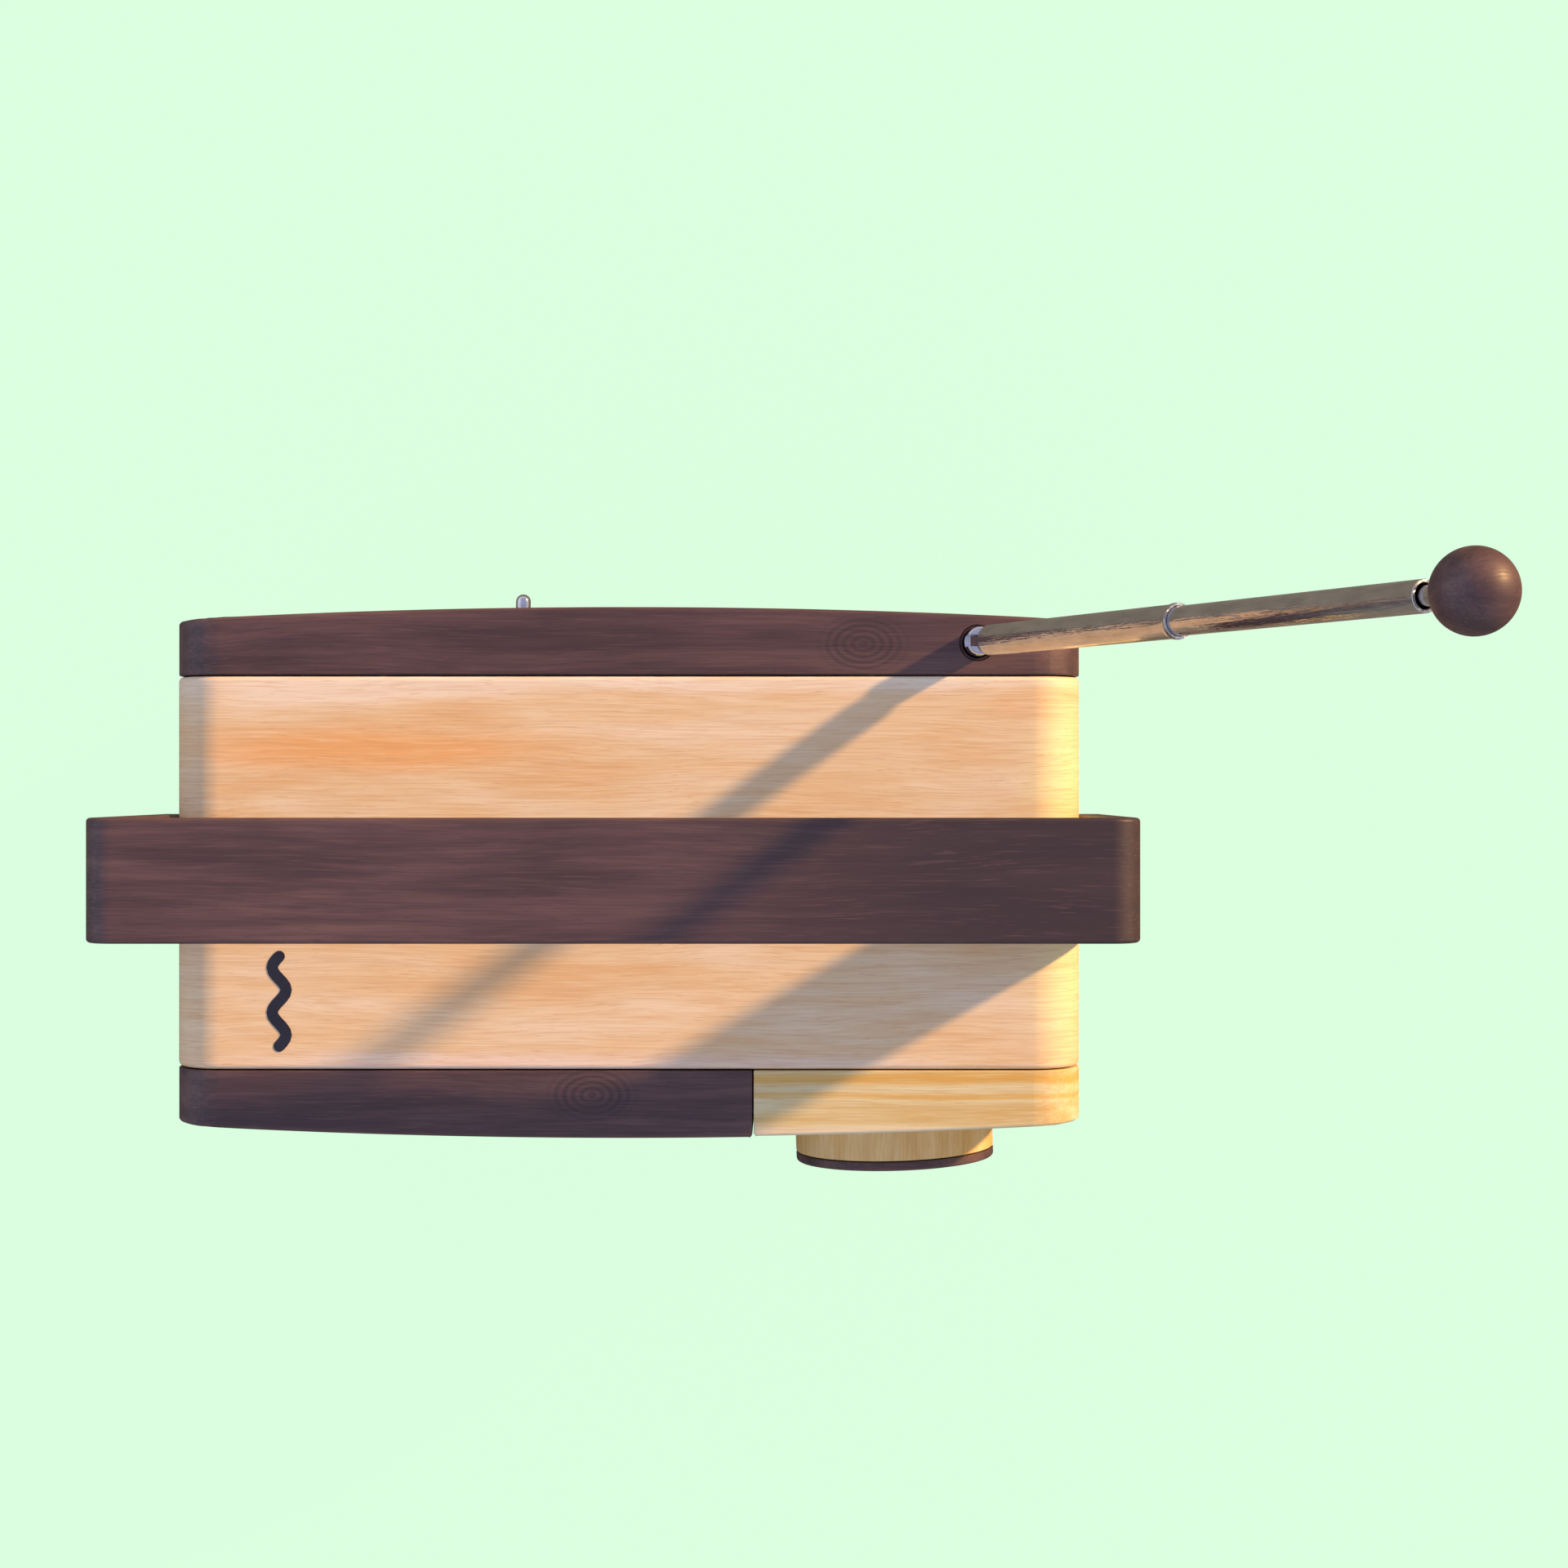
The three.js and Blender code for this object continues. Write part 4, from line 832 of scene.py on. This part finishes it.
def make_base_pad():
    """Moulded rubber foot with a rounded rim and a shallow recess underneath."""
    pad = block(PAD_LOW, PAD_HIGH)
    pick("EDGE", lambda a, b, turn: not at(a.z, b.z))
    bpy.ops.mesh.bevel(offset=PAD_CORNER, segments=8, affect="EDGES")
    pick("FACE", lambda middle, normal: normal.z < -0.9)
    bpy.ops.mesh.inset(thickness=PAD_RIM)
    bpy.ops.transform.translate(value=(0, 0, PAD_RECESS))
    soften(PAD_EDGE, 3, sharp)
    deselect()
    smooth(pad)
    hand_over(pad, "rubber_foot", "cabinet", rubber, "base_pad")


def make_rear_screws():
    """Slotted brass wood screws, each turned as it came to rest."""
    outward = Matrix.Rotation(-math.pi / 2, 4, "X")
    for i, (middle, node) in enumerate(rear_screw_places()):
        screw = slotted_screw(32, 3, SCREW_HEAD, SCREW_SHANK, SCREW_SLOT, SCREW_POINT)
        twist = Matrix.Rotation(FIRST_TWIST + NEXT_TWIST * i, 4, "Z")
        place = Vector((middle.x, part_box(node)[1].y, middle.z))
        settle(screw, Matrix.Translation(place) @ outward @ twist)
        smooth(screw)
        hand_over(screw, f"brass_screw_{i + 1}", "cabinet", brass, node)


# ---------------------------------------------------------------- handle


def handle_grain(point, middle):
    half = HANDLE_HIGH.x - HANDLE_THICKNESS - HANDLE_INNER_BEND
    top = HANDLE_HIGH.z - HANDLE_THICKNESS - HANDLE_INNER_BEND
    mean = HANDLE_INNER_BEND + HANDLE_THICKNESS / 2
    return (bend_measure(half, top, mean, point), point.y, 0.5 * point.z)


def sweep_strip():
    """The handle's strip, run up one side, over the top and down the other."""
    bend_x = HANDLE_HIGH.x - HANDLE_THICKNESS - HANDLE_INNER_BEND
    bend_z = HANDLE_HIGH.z - HANDLE_THICKNESS - HANDLE_INNER_BEND
    deselect()
    foot = (HANDLE_THICKNESS / 2 - HANDLE_HIGH.x, 0, HANDLE_LOW.z)
    bpy.ops.mesh.primitive_plane_add(size=1, location=foot)
    strip = bpy.context.object
    strip.scale = (HANDLE_THICKNESS, HANDLE_HIGH.y - HANDLE_LOW.y, 1)
    settle(strip)
    edit(strip)
    bpy.ops.mesh.select_mode(type="EDGE")
    bpy.ops.mesh.select_all(action="SELECT")
    bpy.ops.mesh.delete(type="ONLY_FACE")
    bpy.ops.mesh.select_all(action="SELECT")
    bpy.ops.mesh.extrude_region_move(TRANSFORM_OT_translate={"value": (0, 0, bend_z - HANDLE_LOW.z)})
    bpy.ops.mesh.spin(steps=14, angle=-math.pi / 2, center=(-bend_x, 0, bend_z), axis=(0, 1, 0))
    bpy.ops.mesh.extrude_region_move(TRANSFORM_OT_translate={"value": (2 * bend_x, 0, 0)})
    bpy.ops.mesh.spin(steps=14, angle=-math.pi / 2, center=(bend_x, 0, bend_z), axis=(0, 1, 0))
    bpy.ops.mesh.extrude_region_move(TRANSFORM_OT_translate={"value": (0, 0, HANDLE_LOW.z - bend_z)})
    for side in (-1, 1):
        pick("EDGE", lambda a, b, turn: at(a.z, b.z, HANDLE_LOW.z) and a.x * side > 0)
        bpy.ops.mesh.edge_face_add()
    close_up(strip)
    return strip


def make_handle():
    """The strip with rounded ends and edges, recessed and drilled for its pivot screws."""
    handle = sweep_strip()
    edit(handle)
    pick("EDGE", lambda a, b, turn: at(a.z, b.z, HANDLE_LOW.z) and at(a.y, b.y))
    bpy.ops.mesh.bevel(offset=HANDLE_END_ROUND, segments=10, affect="EDGES")
    soften(HANDLE_EDGE, 4, sharp)
    deselect()
    for side in (-1, 1):
        place, out = (side * HANDLE_HIGH.x, 0, PIVOT.z), (side, 0, 0)
        carve_round(handle, place, out, PIN_RECESS_DEPTH, PIN_RECESS_RADIUS)
        carve_round(handle, place, out, 2 * HANDLE_THICKNESS, PIN_SHANK[0] + PIN_HOLE_ROOM)
    edit(handle)
    rim = PIN_RECESS_RADIUS + 0.1 * MM

    def on_recess(a, b, turn):
        near = Vector((0, a.y, a.z - PIVOT.z)).length < rim and Vector((0, b.y, b.z - PIVOT.z)).length < rim
        return near and at(abs(a.x), abs(b.x), HANDLE_HIGH.x) and sharp(a, b, turn)

    soften(PIN_RECESS_EDGE, 2, on_recess)
    deselect()
    smooth(handle)
    set_grain(handle, handle_grain)
    hand_over(handle, "bail_handle", "handle", walnut_strip, "handle")


def make_handle_pins():
    """Slotted brass pivot screws, their heads just below the handle's face."""
    sunk = PIN_RECESS_DEPTH - PIN_HEAD[1]
    for side, word in ((-1, "left"), (1, "right")):
        pin = slotted_screw(48, 4, PIN_HEAD, PIN_SHANK, PIN_SLOT)
        twist = Matrix.Rotation(PIN_TWIST * side, 4, "Z")
        outward = Matrix.Rotation(side * math.pi / 2, 4, "Y")
        place = Vector((side * (HANDLE_HIGH.x - sunk), 0, PIVOT.z))
        settle(pin, Matrix.Translation(place) @ outward @ twist)
        smooth(pin)
        hand_over(pin, f"pivot_screw_{word}", "cabinet", brass, f"handle_pin_{word}")


# ---------------------------------------------------------------- knob and toggle


def knob_matrix():
    lean = math.atan2(KNOB_AXIS.x, -KNOB_AXIS.y)
    upright = Matrix.Rotation(math.pi / 2, 4, "X")
    return Matrix.Translation(KNOB_PLACE) @ Matrix.Rotation(lean, 4, "Z") @ upright


def knob_body_grain(point, middle):
    """The body is turned from a blank whose grain runs along the knob's axis."""
    return (point.y, point.x, point.z)


def make_knob():
    """A turned body with a hollow in its back, and a thin cap on its front with a hole for the pointer."""
    body = round_bar(KNOB_BACK, KNOB_SEAM, KNOB_RADIUS, 96)
    pick("FACE", lambda centre, normal: normal.z < -0.9)
    bpy.ops.mesh.inset(thickness=KNOB_RADIUS - KNOB_HOLLOW_RADIUS)
    bpy.ops.mesh.extrude_region_move(TRANSFORM_OT_translate={"value": (0, 0, KNOB_HOLLOW_DEPTH)})
    soften(KNOB_BODY_EDGE, 3, sharp)
    deselect()
    settle(body, knob_matrix())
    smooth(body)
    set_grain(body, knob_body_grain)
    hand_over(body, "turned_knob_body", "knob", turned_ash, "knob_body")

    cap = round_bar(KNOB_CAP_BACK, KNOB_FRONT, KNOB_RADIUS, 96)
    soften(KNOB_FRONT_EDGE, 4, lambda a, b, turn: at(a.z, b.z, KNOB_FRONT))
    soften(KNOB_SEAM_EDGE, 2, lambda a, b, turn: at(a.z, b.z, KNOB_CAP_BACK) and sharp(a, b, turn))
    deselect()
    carve_round(cap, (0, POINTER_REACH, KNOB_FRONT), (0, 0, 1), POINTER_DEPTH, POINTER_RADIUS, 32)
    settle(cap, knob_matrix())
    smooth(cap)
    set_grain(cap, straight_grain)
    hand_over(cap, "turned_knob_cap", "knob", walnut, "knob_cap")


def make_lever():
    """A turned chrome bat: thin in its bushing, thicker towards its round end."""
    shoulder = LEVER_NECK + LEVER_RADIUS
    end = quarter(LEVER_LENGTH - LEVER_RADIUS, LEVER_RADIUS, 0.97 * LEVER_RADIUS, 9)
    profile = [
        (-LEVER_ROOT_RADIUS, 0.6 * LEVER_ROOT_RADIUS),
        (-0.5 * LEVER_ROOT_RADIUS, LEVER_ROOT_RADIUS),
        (LEVER_NECK, LEVER_ROOT_RADIUS),
        (shoulder, LEVER_RADIUS),
        (LEVER_LENGTH - LEVER_RADIUS, LEVER_RADIUS),
        *end,
    ]
    lever = turned(profile, 48)
    deselect()
    tilt = Matrix.Rotation(-math.pi / 2 - LEVER_TILT, 4, "X")
    settle(lever, Matrix.Translation(TOGGLE_PLACE) @ tilt)
    smooth(lever, 50)
    hand_over(lever, "toggle_bat", "toggle", chrome, "toggle_lever")


# ---------------------------------------------------------------- antenna


def tube_matrix():
    tilt = math.atan2(TUBE_AXIS.x, TUBE_AXIS.z)
    return Matrix.Translation(ANTENNA_PLACE) @ Matrix.Rotation(tilt, 4, "Y")


def make_clevis():
    """A round post, slotted into two ears with rounded tops."""
    post = round_bar(TOP_Z - POST_DEPTH - ANTENNA_PLACE.z, EAR_TOP, POST_RADIUS, 64)
    soften(EAR_ROUND, 4, lambda a, b, turn: at(a.z, b.z, EAR_TOP))
    deselect()
    reach = Vector((2 * POST_RADIUS, EAR_SLOT / 2, 0))
    low = -reach - Vector((0, 0, EAR_SLOT_FLOOR))
    carve(post, block(low, reach + Vector((0, 0, 2 * EAR_TOP))))
    carve_round(post, (0, -2 * POST_RADIUS, 0), (0, -1, 0), 4 * POST_RADIUS, PIN_HOLE_RADIUS, 24)
    edit(post)
    above_floor = 0.2 * MM - EAR_SLOT_FLOOR
    soften(EAR_EDGE, 2, lambda a, b, turn: sharp(a, b, turn) and min(a.z, b.z) > above_floor)
    deselect()
    settle(post, Matrix.Translation(ANTENNA_PLACE))
    smooth(post)
    hand_over(post, "chrome_clevis", "antenna_swivel", chrome, "antenna_clevis")


def make_outer_tube():
    """The outer tube: a rounded foot with a flat tongue for the clevis, and a rolled bead at its open end."""
    start, end, radius = TUBE_1
    shoulder = start + TUBE_FOOT_ROUND
    foot = [(shoulder - z, r) for z, r in reversed(quarter(0, radius, TUBE_FOOT_ROUND))]
    bead = []
    for i in range(BEAD_STEPS + 1):
        swell = math.sqrt(math.sin(math.pi * (0.08 + 0.84 * i / BEAD_STEPS)))
        bead.append((end - COLLAR_LENGTH * (1 - i / BEAD_STEPS), radius + COLLAR_PROUD * swell))
    bore = radius - TUBE_LIP
    mouth = [(end, bore + MOUTH_EDGE), (end - MOUTH_EDGE, bore), (start + TUBE_FLOOR, bore)]
    tube = turned([*foot, (shoulder, radius), (end - COLLAR_LENGTH, radius), *bead, *mouth])
    half = TONGUE_THICKNESS / 2
    neck = block((-TONGUE_RADIUS, -half, -TONGUE_RADIUS), (TONGUE_RADIUS, half, start + TONGUE_ROOT))
    pick("EDGE", lambda a, b, turn: at(a.z, b.z, -TONGUE_RADIUS) and not at(a.y, b.y))
    bpy.ops.mesh.bevel(offset=0.999 * TONGUE_RADIUS, segments=12, affect="EDGES")
    deselect()
    modify(tube, "BOOLEAN", object=neck, operation="UNION", solver="EXACT")
    bpy.data.objects.remove(neck)
    carve_round(tube, (0, -radius, 0), (0, -1, 0), 2 * radius, PIN_HOLE_RADIUS, 24)
    return tube


def make_middle_tube():
    """The middle tube: a plain tube with a rounded mouth."""
    start, end, radius = TUBE_2
    bore, rim = radius - MIDDLE_LIP, end - MIDDLE_EDGE
    mouth = [(end, bore + MIDDLE_EDGE), (rim, bore), (start + TUBE_FLOOR, bore)]
    return turned([(start, radius), (rim, radius), *quarter(rim, radius, MIDDLE_EDGE, 3), *mouth])


def make_tubes():
    start, end, radius = TUBE_3
    rows = (
        (make_outer_tube(), "outer_tube", "antenna_outer", "antenna_tube_1"),
        (make_middle_tube(), "middle_tube", "antenna_middle", "antenna_tube_2"),
        (turned([(start, radius), (end, radius)]), "inner_rod", "antenna_inner", "antenna_tube_3"),
    )
    for tube, name, body, node in rows:
        settle(tube, tube_matrix())
        smooth(tube)
        hand_over(tube, name, body, drawn_chrome, node)


def ball_grain(point, middle):
    return tube_matrix().inverted() @ Vector(point)


def make_ball():
    """A turned walnut ball, bored for the rod."""
    centre = (BALL_LOW + BALL_HIGH) / 2
    radius = (BALL_HIGH.x - BALL_LOW.x) / 2
    deselect()
    bpy.ops.mesh.primitive_uv_sphere_add(segments=64, ring_count=40, radius=radius, location=(0, 0, 0))
    ball = settle(bpy.context.object)
    bore = TUBE_3[2] + BALL_BORE_ROOM
    carve_round(ball, (0, 0, -radius), (0, 0, -1), BALL_BORE_DEPTH, bore, 32)
    edit(ball)

    def on_bore(a, b, turn):
        near = all(math.hypot(p.x, p.y) < bore + 0.2 * MM and p.z < -0.9 * radius for p in (a, b))
        return near and sharp(a, b, turn)

    soften(BALL_BORE_EDGE, 3, on_bore)
    deselect()
    tilt = tube_matrix().to_quaternion().to_matrix().to_4x4()
    settle(ball, Matrix.Translation(centre) @ tilt)
    smooth(ball, 50)
    set_grain(ball, ball_grain)
    hand_over(ball, "turned_ball", "antenna_inner", walnut, "antenna_ball")


# ---------------------------------------------------------------- what the CAD parts keep

KEPT = {
    "mark_inlay": inlay,
    "knob_pointer": brass,
    "knob_shaft": steel,
    "volume_control": steel,
    "volume_nut": steel,
    "toggle_switch": chrome,
    "toggle_nut": chrome,
    "antenna_socket": brown_brass,
    "antenna_pin": steel,
    "speaker_frame": black_brass,
    "speaker_cone": paper,
    "speaker_magnet": steel,
    "circuit_board": circuit,
    "tuner_can": steel,
    "battery_tray": plastic,
}


def dress_kept_parts():
    """Gives the CAD parts that stay their materials, and softens their edges."""
    kept = dict(KEPT)
    for name in frame["nodes"]:
        if name.startswith("speaker_screw"):
            kept[name] = steel
        if name.startswith("battery_cell"):
            kept[name] = label
    for name, material in kept.items():
        part = frame["nodes"][name]
        part.data.materials.clear()
        part.data.materials.append(material)
        weld = part.modifiers.new("Weld", "WELD")
        weld.merge_threshold = WELD
        edge = part.modifiers.new("Bevel", "BEVEL")
        edge.width = KEPT_EDGE
        edge.segments = 2
        edge.limit_method = "ANGLE"
        edge.angle_limit = EDGE_ANGLE


# ---------------------------------------------------------------- stage


def make_floor():
    """A plain pale mint floor, which hardly takes a shadow."""
    deselect()
    bpy.ops.mesh.primitive_plane_add(size=FLOOR_SIZE, location=(0, 0, -FLOOR_DROP))
    floor = bpy.context.object
    floor.name = "floor"
    material, tree, shader = start_material("painted_floor", roughness=0.9)
    shader.inputs["Base Color"].default_value = colour("#82887f")
    mint = add(tree, "Emission", {"Color": colour(MINT), "Strength": 1.0})
    soft = add(tree, "BsdfDiffuse", {"Color": colour(MINT)})
    seen = add(tree, "MixShader", {0: FLOOR_SHADE, 1: mint, 2: soft})
    path = add(tree, "LightPath", out="Is Camera Ray")
    both = add(tree, "MixShader", {0: path, 1: shader.outputs[0], 2: seen})
    tree.links.new(both, tree.nodes["Material Output"].inputs["Surface"])
    floor.data.materials.append(material)


def make_sky():
    """Soft sky light: warm low down, bluish high up and from the left."""
    world = bpy.data.worlds.new("soft_sky")
    bpy.context.scene.world = world
    world.use_nodes = True
    tree = world.node_tree
    place = add(tree, "TexCoord", out="Generated")
    height = add(tree, "SeparateXYZ", {0: place}, out="Z")
    side = add(tree, "SeparateXYZ", {0: place}, out="X")
    sky = add(tree, "ValToRGB", {0: height}, [(0.0, "#e8dcd0"), (0.25, "#d6d0d2"), (0.75, "#a2a6c4")])
    left = add(tree, "MapRange", {0: side, 1: -1, 2: -0.3, 3: 0.9, 4: 0}, **SMOOTH)
    sky = add(tree, "Mix", {0: left, 6: sky, 7: colour("#dde6ff")}, **COLOURS)
    path = add(tree, "LightPath", out="Is Camera Ray")
    shown = add(tree, "Mix", {0: path, 6: sky, 7: colour(MINT)}, **COLOURS)
    strength = add(tree, "MapRange", {0: path, 1: 0, 2: 1, 3: SKY_STRENGTH, 4: 1}, **SMOOTH)
    background = tree.nodes["Background"]
    tree.links.new(shown, background.inputs["Color"])
    tree.links.new(strength, background.inputs["Strength"])


def make_sun_and_camera():
    """A low warm key light from the right and behind, and the camera straight above."""
    sun = bpy.data.lights.new("key_light", "SUN")
    sun.energy = SUN_STRENGTH
    sun.angle = SUN_SPREAD
    sun.color = colour("#ffc888")[:3]
    lamp = bpy.data.objects.new("key_light", sun)
    bpy.context.scene.collection.objects.link(lamp)
    lamp.rotation_euler = SUN_DIRECTION.to_track_quat("Z", "Y").to_euler()

    camera = bpy.data.cameras.new("camera")
    camera.lens = CAMERA_LENS
    camera.clip_start = 0.01
    holder = bpy.data.objects.new("camera", camera)
    bpy.context.scene.collection.objects.link(holder)
    holder.location = CAMERA_PLACE
    bpy.context.scene.camera = holder
    bpy.context.scene.view_settings.view_transform = "Standard"


make_floor()
make_sky()
make_sun_and_camera()
make_shell()
make_boards()
make_cloth()
make_base_pad()
make_rear_screws()
make_handle()
make_handle_pins()
make_knob()
make_lever()
make_clevis()
make_tubes()
make_ball()
dress_kept_parts()
deselect()
